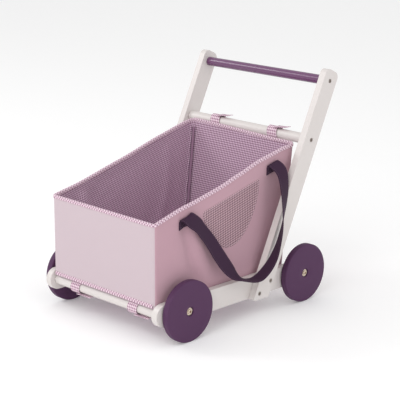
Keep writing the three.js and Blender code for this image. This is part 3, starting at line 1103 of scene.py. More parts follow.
@dataclass
class SideFrame:
    """One side: a long rail with rounded ends and the leaning upright screwed to its outside."""

    side: Side
    edge_round: float = 1.2 * MM
    foot_cut: float = 6.5 * MM
    upright_half_width: float = 17.0 * MM
    upright_corner: float = 10.5 * MM
    counterbore: float = 3.8 * MM
    counterbore_depth: float = 2.6 * MM

    def screw_places(self) -> dict[str, Vector]:
        """Finds the screws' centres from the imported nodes."""
        names = ["push_bar_screw", "cross_bar_screw", "foot_screw_rear", "foot_screw_front"]
        return {name: centre_of(f"{name}_{self.side.tag}") for name in names}

    def build_rail(self, materials: Materials) -> None:
        """Builds the rail and its front and rear bar screws.

        Args:
            materials: The stroller's materials.
        """
        low, high = corners_of("rail_right")
        radius = (high.z - low.z) / 2
        middle_z = (high.z + low.z) / 2
        outline = []
        for centre_y, start in ((low.y + radius, 90), (high.y - radius, 270)):
            for step in range(25):
                angle = math.radians(start + 7.5 * step)
                outline.append((centre_y + radius * math.cos(angle), middle_z + radius * math.sin(angle)))
        rings = [[Vector((x, y, z)) for y, z in outline] for x in (low.x, high.x)]
        rail = make_object(
            f"rail_board_{self.side.tag}", capped(rings).mirrored(self.side), materials.white
        )
        cutters = []
        for bar in ("front_bar", "rear_bar"):
            place = centre_of(bar)
            depth = high.x - self.counterbore_depth
            cutters.append(
                drum(self.counterbore, depth, high.x + OVERRUN, place.y, place.z, 32).mirrored(self.side)
            )
        carve(rail, cutters)
        soften(rail, self.edge_round)
        attach(rail, Body.ROOT, "white_paint", f"rail_{self.side.tag}")
        for bar in ("front_bar", "rear_bar"):
            name = f"{bar}_screw_{self.side.tag}"
            self.build_screw(name, high.x, materials)

    def build_screw(self, name: str, face_x: float, materials: Materials) -> None:
        """Builds the screw that stands for one CAD node.

        Args:
            name: The CAD node that it stands for.
            face_x: How far out the face of the wood is.
            materials: The stroller's materials.
        """
        low, high = corners_of(name)
        middle = (low + high) / 2
        tip = min(abs(low.x), abs(high.x))
        Fastener().make(name, self.side, face_x, middle.y, middle.z, tip, 1.7 * MM, materials)

    def build_upright(self, materials: Materials) -> None:
        """Builds the leaning board and its four screws.

        Args:
            materials: The stroller's materials.
        """
        low, high = corners_of("upright_right")
        top_bar, cross = centre_of("push_bar"), centre_of("cross_bar")
        up = (top_bar - cross).normalized()
        back = Vector((0, up.z, -up.y))
        half, corner = self.upright_half_width, self.upright_corner
        reach = self.top_reach(high, top_bar, up, back)
        outline: list[Vector] = []
        foot = cross + up * ((low.z - cross.z) / up.z)
        across = half / up.z
        toe = Vector((0, foot.y - across, low.z))
        start, stop = toe + up * self.foot_cut, toe + Vector((0, self.foot_cut, 0))
        for step in range(7):
            share = step / 6
            outline.append(start.lerp(toe, share).lerp(toe.lerp(stop, share), share))
        outline.append(Vector((0, foot.y + across, low.z)))
        lean = math.atan2(up.y, up.z)
        for sign, start in ((1, -lean), (-1, math.pi / 2 - lean)):
            middle = top_bar + up * (reach - corner) + back * (sign * (half - corner))
            for step in range(13):
                angle = start + step * math.pi / 24
                outline.append(middle + Vector((0, math.cos(angle), math.sin(angle))) * corner)
        rings = [[Vector((x, p.y, p.z)) for p in outline] for x in (low.x, high.x)]
        board = make_object(
            f"upright_board_{self.side.tag}", capped(rings).mirrored(self.side), materials.white
        )
        places = self.screw_places()
        depth = high.x - self.counterbore_depth
        cutters = [
            drum(self.counterbore, depth, high.x + OVERRUN, place.y, place.z, 32).mirrored(self.side)
            for place in places.values()
        ]
        carve(board, cutters)
        soften(board, self.edge_round)
        attach(board, Body.ROOT, "white_paint", f"upright_{self.side.tag}")
        for name in places:
            self.build_screw(f"{name}_{self.side.tag}", high.x, materials)

    def top_reach(self, high: Vector, bar: Vector, up: Vector, back: Vector) -> float:
        """Works out how far the board runs past the push bar, so that it just reaches its box's top."""
        inner = self.upright_half_width - self.upright_corner
        return (high.z - self.upright_corner - bar.z + back.z * inner) / up.z + self.upright_corner

    def build(self, materials: Materials) -> None:
        """Builds the whole side frame."""
        self.build_rail(materials)
        self.build_upright(materials)


@dataclass
class Bars:
    """The four round bars that hold the side frames apart."""

    chamfer: float = 0.8 * MM

    def build(self, materials: Materials) -> None:
        """Builds the push bar, the cross bar and the two low bars.

        Args:
            materials: The stroller's materials.
        """
        finishes = {
            "push_bar": (materials.plum_gloss, "plum_paint"),
            "cross_bar": (materials.white, "white_paint"),
            "front_bar": (materials.white, "white_paint"),
            "rear_bar": (materials.white, "white_paint"),
        }
        for node, (material, slot) in finishes.items():
            low, high = corners_of(node)
            radius = (high.z - low.z) / 2
            end, cut = high.x, self.chamfer
            profile = [(-end, 0.0), (-end, radius - cut), (-end + cut, radius)]
            profile += [(end * share, radius) for share in (-0.5, 0.0, 0.5)]
            profile += [(end - cut, radius), (end, radius - cut), (end, 0.0)]
            surface = turned(
                profile, axis_of(low, high), 72, closed=False
            )
            attach(make_object(f"{node}_turned", surface, material), Body.ROOT, slot, node)


# ---- Wheels --------------------------------------------------------------------------------


@dataclass
class Wheel:
    """A turned wooden wheel on its bolt, with a washer in the hub."""

    end: str
    side: Side
    edge_round: float = 1.5 * MM
    recess_radius: float = 7.5 * MM
    recess_depth: float = 3.4 * MM
    bore: float = 3.4 * MM

    @property
    def tag(self) -> str:
        """The wheel's name within the stroller."""
        return f"{self.end}_{self.side.tag}"

    def disc(self, materials: Materials) -> None:
        """Builds the wheel itself.

        Args:
            materials: The stroller's materials.
        """
        low, high = corners_of(f"wheel_{self.end}_right")
        radius = (high.z - low.z) / 2
        centre = axis_of(low, high)
        soft = self.edge_round
        floor_x = high.x - self.recess_depth
        profile = [(low.x, self.bore), (low.x, radius * 0.5), (low.x, radius - soft)]
        profile += self.corner(low.x + soft, radius - soft, soft, 180, 90)
        profile += [((low.x + high.x) / 2, radius)]
        profile += self.corner(high.x - soft, radius - soft, soft, 90, 0)
        profile += [(high.x, radius * 0.72), (high.x, radius * 0.4)]
        lip = 0.5 * MM
        profile += [
            (high.x, self.recess_radius + lip), (high.x - lip * 0.3, self.recess_radius + lip * 0.3)
        ]
        profile += [(high.x - lip, self.recess_radius), (floor_x, self.recess_radius), (floor_x, self.bore)]
        surface = turned(profile, centre, 128).mirrored(self.side)
        disc = make_object(f"wheel_disc_{self.tag}", surface, materials.plum, 50.0)
        attach(disc, Body.ROOT, "plum_paint", f"wheel_{self.tag}", body_name=f"wheel_{self.tag}")

    @staticmethod
    def corner(x: float, radius: float, soft: float, start: int, stop: int) -> list[tuple[float, float]]:
        """Rounds one edge of the profile.

        Args:
            x: The rounding's middle along the axis.
            radius: The rounding's middle out from the axis.
            soft: The rounding's radius.
            start: The first angle, in degrees.
            stop: The last angle, in degrees.

        Returns:
            Points along the rounding.
        """
        places = []
        for step in range(1, 6):
            angle = math.radians(start + (stop - start) * step / 5)
            places.append((x + soft * math.cos(angle), radius + soft * math.sin(angle)))
        return places

    def bolt(self, materials: Materials) -> None:
        """Builds the bolt, with its socket, and the washer under its head.

        Args:
            materials: The stroller's materials.
        """
        node = f"wheel_bolt_{self.tag}"
        low, high = corners_of(f"wheel_bolt_{self.end}_right")
        centre = axis_of(low, high)
        head, top = 4.0 * MM, high.x
        base = top - 1.7 * MM
        profile = [
            (low.x, 0.0), (low.x, 2.4 * MM), (low.x + 0.8 * MM, 3.0 * MM), (base, 3.0 * MM), (base, head)
        ]
        profile += [
            (top - 0.9 * MM, head), (top - 0.3 * MM, head - 0.5 * MM), (top, head - 1.4 * MM), (top, 0.0)
        ]
        bolt = make_object(
            f"{node}_turned",
            turned(profile, centre, 40, closed=False).mirrored(self.side),
            materials.pale_metal,
        )
        carve(
            bolt, [drum(2.4 * MM, top - 5.0 * MM, top + 1 * MM, centre.y, centre.z, 6).mirrored(self.side)]
        )
        bolt.data.set_sharp_from_angle(angle=math.radians(30))
        attach(bolt, Body.ROOT, "pale_plating", node)
        washer = f"hub_washer_{self.tag}"
        low, high = corners_of(f"hub_washer_{self.end}_right")
        rim = (high.z - low.z) / 2
        edge = 0.25 * MM
        profile = [(low.x, 3.3 * MM), (low.x, rim - edge), (low.x + edge, rim), (high.x - edge, rim)]
        profile += [(high.x, rim - edge), (high.x, 3.3 * MM)]
        ring = make_object(
            f"{washer}_turned", turned(profile, centre, 48).mirrored(self.side), materials.pale_metal
        )
        attach(ring, Body.ROOT, "pale_plating", washer)

    def build(self, materials: Materials) -> None:
        """Builds the wheel and its hardware."""
        self.disc(materials)
        self.bolt(materials)


# ---- Bag -----------------------------------------------------------------------------------


@dataclass
class Station:
    """A place on the way round the bag, at one height."""

    wall: Wall
    point: Vector
    out: Vector
    travelled: float


@dataclass
class Bag:
    """The open bag: one lofted cloth shell that sags between its rim, its floor and its loops."""

    wall_thickness: float = 3.5 * MM
    cloth: float = 0.9 * MM
    lining_cloth: float = 0.7 * MM
    floor_cloth: float = 0.6 * MM
    cloth_top: float = 0.985
    front_corner: float = 5.5 * MM
    rear_corner: float = 11.0 * MM
    rim_depth: float = 6.5 * MM
    side_steps: int = 72
    end_steps: int = 44
    corner_steps: int = 7
    height_steps: int = 40

    def __post_init__(self) -> None:
        """Reads the bag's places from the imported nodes."""
        side_low, side_high = corners_of("bag_side_right")
        rim_low, rim_high = corners_of("rim_binding")
        rear_low, rear_high = corners_of("bag_rear")
        self.half_width = side_high.x
        self.front_y = side_low.y
        self.floor_z = side_low.z
        self.rear_top_y = rim_high.y
        self.rear_floor_y = rear_low.y + self.wall_thickness
        self.rim_front_z = rim_low.z + self.rim_depth
        self.rim_rear_z = rim_high.z
        self.slope = (self.rim_rear_z - self.rim_front_z) / (self.rear_top_y - self.front_y)
        self.board_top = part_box("base_board")[1][2]

    def rim_z(self, x: float, y: float) -> float:
        """The height of the rim, with the slack that the cloth takes up between its corners.

        Args:
            x: Place across the stroller.
            y: Place along the stroller.

        Returns:
            The height, in metres.
        """
        near = [
            (-0.198, -0.5),
            (-0.143, 0.6),
            (-0.098, -1.4),
            (-0.051, -2.2),
            (-0.006, 0.2),
            (0.041, 3.2),
            (0.09, 1.4),
            (0.131, -2.6),
        ]
        far = [(-0.198, 0.5), (-0.14, -1.8), (-0.05, 0.0), (0.05, 4.2), (0.1, 4.8), (0.131, 3.6)]
        share = smooth_step(-self.half_width, self.half_width, x)
        slack = through(far, y) * (1 - share) + through(near, y) * share
        straight = self.rim_front_z + self.slope * (y - self.front_y)
        return straight + slack * MM

    def rear_y(self, z: float) -> float:
        """Where the leaning rear wall is, at a height."""
        share = (z - self.floor_z) / (self.rim_rear_z - self.floor_z)
        return self.rear_floor_y + share * (self.rear_top_y - self.rear_floor_y)

    def sag(self, wall: Wall, place: float, z: float) -> float:
        """How far the cloth stands out from its straight wall.

        Args:
            wall: The wall.
            place: Y on a side wall, X on the front or rear wall.
            z: The height.

        Returns:
            The distance outwards, in metres.
        """
        top = self.rim_z(0, place) if wall in (Wall.LEFT, Wall.RIGHT) else self.rim_z(0, self.front_y)
        if wall is Wall.REAR:
            top = self.rim_rear_z
        free = smooth_step(self.floor_z, self.floor_z + 22 * MM, z) * smooth_step(top, top - 26 * MM, z)
        creases = 0.45 * noise.noise(Vector((place * 22, z * 16, hash_of(wall)))) + 0.2 * noise.noise(
            Vector((place * 55, z * 40, 3.0))
        )
        if wall in (Wall.FRONT, Wall.REAR):
            span = 1 - (place / self.half_width) ** 2
            return (0.9 * span * free + creases * free * 0.6) * MM
        length = self.rear_top_y - self.front_y
        span = math.sin(math.pi * min(max((place - self.front_y) / length, 0.0), 1.0))
        belly = 1.9 * span * free
        hang = 165 * MM - z
        front_fold = place - (-128 * MM + 0.27 * hang)
        rear_fold = place - (66 * MM - 0.36 * max(hang, 0.0))
        low_fade = smooth_step(self.floor_z + 4 * MM, self.floor_z + 40 * MM, z)
        high_fade = smooth_step(top - 12 * MM, top - 42 * MM, z)
        folds = -4.6 * bell(front_fold, 7 * MM) + 2.6 * bell(front_fold - 23 * MM, 11 * MM)
        folds += -1.3 * bell(rear_fold, 7 * MM) + 0.9 * bell(rear_fold + 24 * MM, 12 * MM)
        folds += 0.3 * bell(rear_fold - 20 * MM, 9 * MM)
        return (belly + folds * low_fade * high_fade + creases * free) * MM

    def ring(self, share: float, inset: float) -> list[Station]:
        """Goes once round the bag at one share of its height.

        Args:
            share: 0 at the floor, 1 at the rim.
            inset: How far inside the outer face, in metres.

        Returns:
            The stations, starting at the front left corner.
        """
        half = self.half_width - inset
        front = self.front_y + inset
        rear = self.rear_y(self.floor_z + share * (self.rim_rear_z - self.floor_z)) - inset
        soft_front = max(self.front_corner - inset, 1.5 * MM)
        soft_rear = max(self.rear_corner - inset, 3 * MM)
        runs: list[tuple[Wall, Vector, Vector]] = []
        self.straight(
            runs,
            Wall.FRONT,
            (-half + soft_front, front),
            (half - soft_front, front),
            (0, -1),
            self.end_steps,
        )
        self.arc(runs, Wall.FRONT, Wall.RIGHT, (half - soft_front, front + soft_front), soft_front, -90)
        self.straight(
            runs, Wall.RIGHT, (half, front + soft_front), (half, rear - soft_rear), (1, 0), self.side_steps
        )
        self.arc(runs, Wall.RIGHT, Wall.REAR, (half - soft_rear, rear - soft_rear), soft_rear, 0)
        self.straight(
            runs, Wall.REAR, (half - soft_rear, rear), (-half + soft_rear, rear), (0, 1), self.end_steps
        )
        self.arc(runs, Wall.REAR, Wall.LEFT, (-half + soft_rear, rear - soft_rear), soft_rear, 90)
        self.straight(
            runs,
            Wall.LEFT,
            (-half, rear - soft_rear),
            (-half, front + soft_front),
            (-1, 0),
            self.side_steps,
        )
        self.arc(runs, Wall.LEFT, Wall.FRONT, (-half + soft_front, front + soft_front), soft_front, 180)
        stations = []
        travelled = 0.0
        previous: Optional[Vector] = None
        for wall, flat, out in runs:
            top = self.rim_z(flat.x, flat.y)
            z = self.floor_z + share * (top - self.floor_z)
            place = flat.y if wall in (Wall.LEFT, Wall.RIGHT) else flat.x
            point = Vector((flat.x, flat.y, z)) + out * self.sag(wall, place, z) * self.calm(
                flat, wall, half, front, rear
            )
            if previous is not None:
                travelled += (flat - previous).length
            previous = flat
            stations.append(Station(wall, point, out, travelled))
        return stations

    def calm(self, flat: Vector, wall: Wall, half: float, front: float, rear: float) -> float:
        """Fades the sag out towards the corners, where two walls hold each other.

        Args:
            flat: The point's place in the plan.
            wall: The wall.
            half: Half the bag's width.
            front: Where the front wall is.
            rear: Where the rear wall is.

        Returns:
            How much of the sag is left, 0 to 1.
        """
        if wall in (Wall.LEFT, Wall.RIGHT):
            gap = min(flat.y - front, rear - flat.y)
        else:
            gap = half - abs(flat.x)
        return smooth_step(2 * MM, 26 * MM, gap)

    @staticmethod
    def straight(
        runs: list,
        wall: Wall,
        start: tuple[float, float],
        stop: tuple[float, float],
        out: tuple[float, float],
        steps: int,
    ) -> None:
        """Adds the points of one straight wall.

        Args:
            runs: The points so far, which this adds to.
            wall: The wall.
            start: Where it starts.
            stop: Where it stops.
            out: Outwards from the wall.
            steps: How many steps there are.
        """
        for step in range(steps + 1):
            share = step / steps
            flat = Vector((*start, 0)).lerp(Vector((*stop, 0)), share)
            runs.append((wall, flat, Vector((*out, 0))))

    def arc(
        self, runs: list, before: Wall, after: Wall, centre: tuple[float, float], radius: float, start: int
    ) -> None:
        """Adds the points of one rounded corner, between its two walls.

        Args:
            runs: The points so far, which this adds to.
            before: The wall before the corner.
            after: The wall after the corner.
            centre: The middle of the corner's round.
            radius: The radius.
            start: The first angle, in degrees.
        """
        for step in range(1, self.corner_steps):
            angle = math.radians(start + 90 * step / self.corner_steps)
            out = Vector((math.cos(angle), math.sin(angle), 0))
            wall = before if step < self.corner_steps / 2 else after
            runs.append((wall, Vector((*centre, 0)) + out * radius, out))

    def shell(self, inset: float, top_share: float, steps: int, bottom_share: float = 0.0) -> Surface:
        """Lofts the bag's walls as one surface.

        Args:
            inset: How far inside the outer face.
            top_share: Where the cloth ends below the rim, as a share of the height.
            steps: How many rows there are.
            bottom_share: Where the cloth begins.

        Returns:
            The surface, with each point's place on the cloth.
        """
        rings = []
        places: list[tuple[float, float]] = []
        for row in range(steps + 1):
            share = bottom_share + (top_share - bottom_share) * row / steps
            stations = self.ring(share, inset)
            rings.append([s.point for s in stations])
            places.extend((s.travelled, s.point.z - self.slope * self.flat_along(s)) for s in stations)
        made = sweep(rings, True)
        made.places = places
        return made

    def flat_along(self, station: Station) -> float:
        """How far a side wall's checks have risen with the rim."""
        return station.point.y - self.front_y

    def build_walls(self, materials: Materials) -> None:
        """Builds the outer cloth and the lining, each as one shell.

        Args:
            materials: The stroller's materials.
        """
        rows = self.height_steps
        outer = self.shell(0.0, self.cloth_top, rows)
        height = self.rim_z(0, 0) - self.floor_z
        cloth = make_object("bag_cloth", outer, materials.side_cotton, CLOTH_CREASE_DEGREES)
        # The front panel's faces take the paler copy of the cotton, which paints the sheen of the light on
        # that face.
        cloth.data.materials.append(materials.front_cotton)
        for face in cloth.data.polygons:
            middle = face.center
            if middle.y < self.front_y + 2.2 * MM:
                face.material_index = 1
        thicken(cloth, self.cloth, -1)
        attach(cloth, Body.ROOT, "pink_cotton", "bag_front", "bag_rear", "bag_side_left", "bag_side_right")
        inset = self.wall_thickness
        low_share = (self.board_top + 1 * MM - self.floor_z) / height
        inner = self.shell(inset, self.cloth_top, rows, low_share)
        lining = make_object("bag_lining", inner, materials.lining, CLOTH_CREASE_DEGREES)
        thicken(lining, self.lining_cloth, 1)
        attach(lining, Body.ROOT, "gingham")

    def build_corner_seams(self, materials: Materials) -> None:
        """Builds the seam allowance that stands up in each rear corner of the lining, in a darker lining
        copy that paints the shade of its fold, with a row of thick dark stitches that paints the shade in
        the crease.

        Args:
            materials: The stroller's materials.
        """
        inset = self.wall_thickness + 0.8 * MM
        for side in Side:
            rings, line = [], []
            rows = 60
            for row in range(rows + 1):
                share = 0.07 + 0.9 * row / rows
                z = self.floor_z + share * (self.rim_rear_z - 5 * MM - self.floor_z)
                y = self.rear_y(z) - inset - 0.8 * MM
                x = self.half_width - inset - 2.2 * MM
                wave = 0.5 * MM * noise.noise(Vector((z * 30, side.value, 2.0)))
                ring = []
                for out, lift in (
                    (0.0, 0.2), (2.4, 1.5), (5.0, 2.1), (7.2, 2.3), (7.2, 1.7), (5.0, 1.4), (2.4, 0.8)
                ):
                    ring.append(Vector((side.value * (x - out * MM), y - lift * MM - wave * out / 7.2, z)))
                rings.append(ring)
                line.append(Vector((side.value * (x + 0.6 * MM), y - 0.4 * MM, z)))
            # The flap takes the darker lining copy: painted shade of the fold.
            flap = make_object(
                f"lining_seam_{side.tag}", capped(rings), materials.lining_edge, CLOTH_CREASE_DEGREES
            )
            attach(flap, Body.ROOT, "gingham")
            # These thick dark plum stitches are painted shade: they stand for the dark crease along the
            # corner seam.
            seam = stitches(
                f"lining_stitches_{side.tag}",
                line,
                [Vector((-side.value, -1, 0)).normalized()] * len(line),
                materials.plum_thread,
                2.2 * MM,
                2.0 * MM,
                0.6 * MM,
            )
            attach(seam, Body.ROOT, "gingham")

    def build_floor(self, materials: Materials) -> None:
        """Builds the cloth floor under the board and the lining over it.

        Args:
            materials: The stroller's materials.
        """
        for name, z, inset, material, nodes in (
            ("bag_floor_cloth", self.floor_z + 0.8 * MM, 1.0 * MM, materials.lining, ("bag_floor",)),
            ("lining_floor", self.board_top + 0.9 * MM, 3.9 * MM, materials.lining, ()),
        ):
            half = self.half_width - inset
            front, rear = self.front_y + inset, self.rear_floor_y - inset + (z - self.floor_z) * 0.1
            rings, places = [], []
            across, along = 36, 48
            for row in range(along + 1):
                y = front + (rear - front) * row / along
                ring = []
                for step in range(across + 1):
                    x = -half + 2 * half * step / across
                    edge = min(half - abs(x), y - front, rear - y)
                    rise = 0.5 * noise.noise(Vector((x * 24, y * 24, 5.0))) * smooth_step(0, 15 * MM, edge)
                    ring.append(Vector((x, y, z + max(rise, -0.3) * MM)))
                    places.append((x, y))
                rings.append(ring)
            surface = sweep(rings, False)
            surface.places = places
            sheet = make_object(name, surface, material, CLOTH_CREASE_DEGREES)
            thicken(sheet, self.floor_cloth, -1)
            attach(sheet, Body.ROOT, "gingham", *nodes)

    def build_binding(self, materials: Materials) -> None:
        """Builds the folded tape round the rim and the stitching that holds it.

        Args:
            materials: The stroller's materials.
        """
        stations = self.ring(1.0, 0.0)
        section = [
            (0.35, -6.4),
            (0.75, -6.1),
            (0.95, -4.6),
            (0.95, -2.6),
            (0.7, -1.0),
            (-0.2, -0.15),
            (-1.7, 0.1),
            (-3.3, -0.15),
            (-4.2, -1.0),
            (-4.45, -2.6),
            (-4.45, -4.6),
            (-4.25, -6.1),
            (-3.85, -6.4),
            (-3.6, -4.2),
            (-1.7, -2.2),
            (0.05, -4.2),
        ]
        tape_width = 17 * MM
        rings, places = [], []
        for station in stations:
            ripple = 0.25 * noise.noise(Vector((station.travelled * 120, 0.0, 1.0)))
            ring = []
            for k, (out, up) in enumerate(section):
                rise = Vector((0, 0, 0.86 * up + ripple * 0.4)) * MM
                ring.append(station.point + station.out * (out + ripple * 0.5) * MM + rise)
                places.append(on_the_bias(station.travelled, tape_width * k / 12))
            rings.append(ring)
        surface = sweep(rings, True, closed_run=True)
        surface.places = places
        binding = make_object("rim_binding_tape", surface, materials.binding, CLOTH_CREASE_DEGREES)
        attach(binding, Body.ROOT, "gingham", "rim_binding")
        for name, out, up, turn in (
            ("binding_seam_outside", 0.9, -4.6, 1), ("binding_seam_inside", -4.4, -4.6, -1)
        ):
            line = [s.point + s.out * out * MM + Vector((0, 0, up * MM)) for s in stations]
            line.append(line[0])
            faces = [s.out * turn for s in stations]
            faces.append(faces[0])
            row = stitches(name, line, faces, materials.pink_thread)
            attach(row, Body.ROOT, "gingham")

    def build_hem(self, materials: Materials) -> None:
        """Builds the checked hem along the foot of the front wall and its seam.

        Args:
            materials: The stroller's materials.
        """
        low, high = corners_of("front_hem")
        half = high.x
        rings, places = [], []
        steps = 120
        section = [(0.1, 0.2), (0.9, 0.0), (1.1, 1.6), (1.1, 3.8), (0.8, 5.6), (0.1, 6.0)]
        for step in range(steps + 1):
            x = -half + 2 * half * step / steps
            wave = 0.25 * noise.noise(Vector((x * 90, 7.0, 0)))
            ring = []
            for k, (out, up) in enumerate(section):
                ring.append(Vector((x, low.y - (out + 0.5 * wave) * MM, low.z + (up + wave) * MM)))
                places.append(on_the_bias(x, k * 1.4 * MM))
            rings.append(ring)
        surface = sweep(rings, True)
        surface.places = places
        hem = make_object("front_hem_tape", surface, materials.binding, CLOTH_CREASE_DEGREES)
        attach(hem, Body.ROOT, "gingham", "front_hem")
        line = [
            Vector((-half + 2 * half * k / steps, low.y - 1.2 * MM, low.z + 4.6 * MM))
            for k in range(steps + 1)
        ]
        seam = stitches("hem_seam", line, [Vector((0, -1, 0))] * len(line), materials.pink_thread)
        attach(seam, Body.ROOT, "gingham")

    def side_point(self, side: Side, y: float, z: float, out: float) -> Vector:
        """A point on a side wall's outer face, lifted out by a distance.

        Args:
            side: The side it is on.
            y: Place along the stroller.
            z: Height.
            out: How far it is lifted, in metres.

        Returns:
            The point.
        """
        wall = Wall.RIGHT if side is Side.RIGHT else Wall.LEFT
        calm = self.calm(Vector((0, y, 0)), wall, self.half_width, self.front_y, self.rear_y(z))
        x = self.half_width + self.sag(wall, y, z) * calm + out
        return Vector((side.value * x, y, z))

    def patch_outline(self) -> list[tuple[float, float]]:
        """The patch's edge: straight under the rim, round below, in (Y, Z).

        Returns:
            Points round the patch.
        """
        low, high = corners_of("side_patch_right")
        length = high.y - low.y
        corner = 8 * MM

        def top(share: float) -> tuple[float, float]:
            """A point on the straight top edge."""
            y = low.y + share * length
            return (y, high.z - self.slope * (high.y - y))

        start = top(0)
        depth = start[1] - low.z
        legs = [
            [top(corner / length), top(0.35), top(0.7), top(1 - corner / length / 2)],
            [top(1 - corner / length / 2), top(1), top(1), (high.y, high.z - corner)],
            [
                (high.y, high.z - corner),
                (low.y + 0.97 * length, start[1] - 0.25 * depth),
                (low.y + 0.76 * length, low.z),
                (low.y + 0.46 * length, low.z),
            ],
            [
                (low.y + 0.46 * length, low.z),
                (low.y + 0.24 * length, low.z),
                (low.y + 0.04 * length, start[1] - 0.4 * depth),
                (low.y, start[1] - corner),
            ],
            [(low.y, start[1] - corner), (low.y, start[1]), (low.y, start[1]), top(corner / length)],
        ]
        outline = []
        for leg, steps in zip(legs, (24, 5, 30, 26, 5)):
            for step in range(steps):
                t = step / steps
                weights = ((1 - t) ** 3, 3 * t * (1 - t) ** 2, 3 * t * t * (1 - t), t**3)
                outline.append(tuple(sum(w * p[i] for w, p in zip(weights, leg)) for i in (0, 1)))
        return outline

    def build_patches(self, materials: Materials) -> None:
        """Builds the checked patch on each side, with its turned edge and seam.

        Args:
            materials: The stroller's materials.
        """
        outline = self.patch_outline()
        middle = (sum(p[0] for p in outline) / len(outline), sum(p[1] for p in outline) / len(outline))
        lifts = (
            (1.0, 0.15),
            (0.992, 0.75),
            (0.965, 0.85),
            (0.93, 0.55),
            (0.8, 0.5),
            (0.6, 0.5),
            (0.4, 0.5),
            (0.2, 0.5),
            (0.04, 0.5),
        )
        for side in Side:
            rings, places = [], []
            for share, lift in lifts:
                ring = []
                for y, z in outline:
                    py, pz = middle[0] + (y - middle[0]) * share, middle[1] + (z - middle[1]) * share
                    ring.append(self.side_point(side, py, pz, lift * MM))
                    places.append((py, pz - self.slope * (py - self.front_y)))
                rings.append(ring)
            surface = sweep(rings, True)
            surface.faces.append(tuple(range(len(surface.points) - len(outline), len(surface.points))))
            surface.places = places
            patch = make_object(f"patch_{side.tag}", surface, materials.patch, CLOTH_CREASE_DEGREES)
            attach(patch, Body.ROOT, "gingham", f"side_patch_{side.tag}")
            line = [
                self.side_point(
                    side, middle[0] + (y - middle[0]) * 0.95, middle[1] + (z - middle[1]) * 0.95, 0.85 * MM
                )
                for y, z in outline
            ]
            line.append(line[0])
            seam = stitches(
                f"patch_seam_{side.tag}",
                line,
                [Vector((side.value, 0, 0))] * len(line),
                materials.pink_thread,
            )
            attach(seam, Body.ROOT, "gingham")

    @staticmethod
    def area_of(outline: Sequence[tuple[float, float]]) -> float:
        """The area inside an outline.

        Args:
            outline: Points along the edge.

        Returns:
            The area, in square metres.
        """
        total = 0.0
        for (y0, z0), (y1, z1) in zip(outline, outline[1:] + outline[:1]):
            total += y0 * z1 - y1 * z0
        return abs(total) / 2

    def build(self, materials: Materials) -> None:
        """Builds the whole bag.

        Args:
            materials: The stroller's materials.
        """
        self.build_walls(materials)
        self.build_corner_seams(materials)
        self.build_floor(materials)
        self.build_binding(materials)
        self.build_hem(materials)
        self.build_patches(materials)


def hash_of(wall: Wall) -> float:
    """A fixed number for each wall, so that its creases differ from the others'."""
    return {Wall.FRONT: 1.7, Wall.RIGHT: 4.1, Wall.REAR: 6.9, Wall.LEFT: 9.3}[wall]


class LoopEnd(Enum):
    """Which bar a loop goes round."""

    FRONT = "front"
    REAR = "rear"


@dataclass
class BarLoop:
    """A gingham loop that ties the bag to a bar, with the loose end of its tie."""

    end: LoopEnd
    side: Side
    cloth: float = 1.3 * MM
    width: float = 21 * MM
    slack: float = 1.6 * MM
    tail_length: float = 30 * MM
    tail_width: float = 15 * MM

    def build(self, materials: Materials) -> None:
        """Builds the band and its tail.

        Args:
            materials: The stroller's materials.
        """
        node = f"{self.end.value}_loop_{self.side.tag}"
        bar = "front_bar" if self.end is LoopEnd.FRONT else "cross_bar"
        low, high = corners_of(bar)
        radius = (high.z - low.z) / 2
        middle = Vector((centre_of(node).x, (low.y + high.y) / 2, (low.z + high.z) / 2))
        down = -1 if self.end is LoopEnd.FRONT else 1
        rings, places = [], []
        steps = 56
        for step in range(steps):
            angle = 2 * math.pi * step / steps
            spoke = Vector((0, math.cos(angle), math.sin(angle)))
            hang = self.slack * max(0.0, down * spoke.z) ** 2
            slant = 1.6 * MM * spoke.z * -down
            ring = []
            for k in range(7):
                x = (k / 6 - 0.5) * self.width
                pull = 0.35 * MM * noise.noise(Vector((x * 150, angle * 2, self.side.value)))
                reach = radius + 0.35 * MM + self.cloth + hang + abs(pull) * 0.6
                ring.append(middle + Vector((x + slant, 0, 0)) + spoke * reach)
                places.append((x, angle * radius))
            rings.append(ring)
        surface = sweep(rings, False, closed_run=True)
        surface.places = places
        band = make_object(f"{node}_band", surface, materials.binding, CLOTH_CREASE_DEGREES)
        thicken(band, self.cloth * 0.8, -1)
        attach(band, Body.ROOT, "gingham", node)
        self.build_tail(node, bar, middle, radius, down, materials)

    def build_tail(
        self, node: str, bar: str, middle: Vector, radius: float, down: int, materials: Materials
    ) -> None:
        """Builds the loose end, which lies off to one side of the band.

        Args:
            node: The CAD node's name.
            bar: The bar that it goes round. Not used.
            middle: The middle of the loop.
            radius: The bar's radius.
            down: -1 for a tail below the bar, 1 above.
            materials: The stroller's materials.
        """
        start = middle + Vector((self.width * 0.15, 0, down * (radius + self.cloth + self.slack * 0.9)))
        rings, places = [], []
        steps = 22
        for step in range(steps + 1):
            share = step / steps
            rise = (0.4 * share if down < 0 else 4.2 * share * share) * MM
            spine = start + Vector(
                (share * self.tail_length, -2 * MM, rise + 0.4 * MM * math.sin(4 * share))
            )
            width = self.tail_width * (1 - 0.45 * share)
            ring = []
            for k in range(5):
                y = (k / 4 - 0.5) * width
                ring.append(spine + Vector((0, y, 0.5 * MM * math.cos(k * 1.5 + share * 3))))
                places.append((y, share * self.tail_length))
            rings.append(ring)
        surface = sweep(rings, False)
        surface.places = places
        tail = make_object(f"{node}_tail", surface, materials.binding, CLOTH_CREASE_DEGREES)
        thicken(tail, self.cloth * 0.7, 0)
        attach(tail, Body.ROOT, "gingham")


# ---- Carry straps --------------------------------------------------------------------------


@dataclass(frozen=True)
class StrapStation:
    """One place on a strap: along, down, out from the bag, and the webbing's turn in degrees.

    Level says how far the webbing still lies along the line between its sewn ends.
    """

    share: float
    drop: float
    out: float
    turn: float
    level: float = 0.0


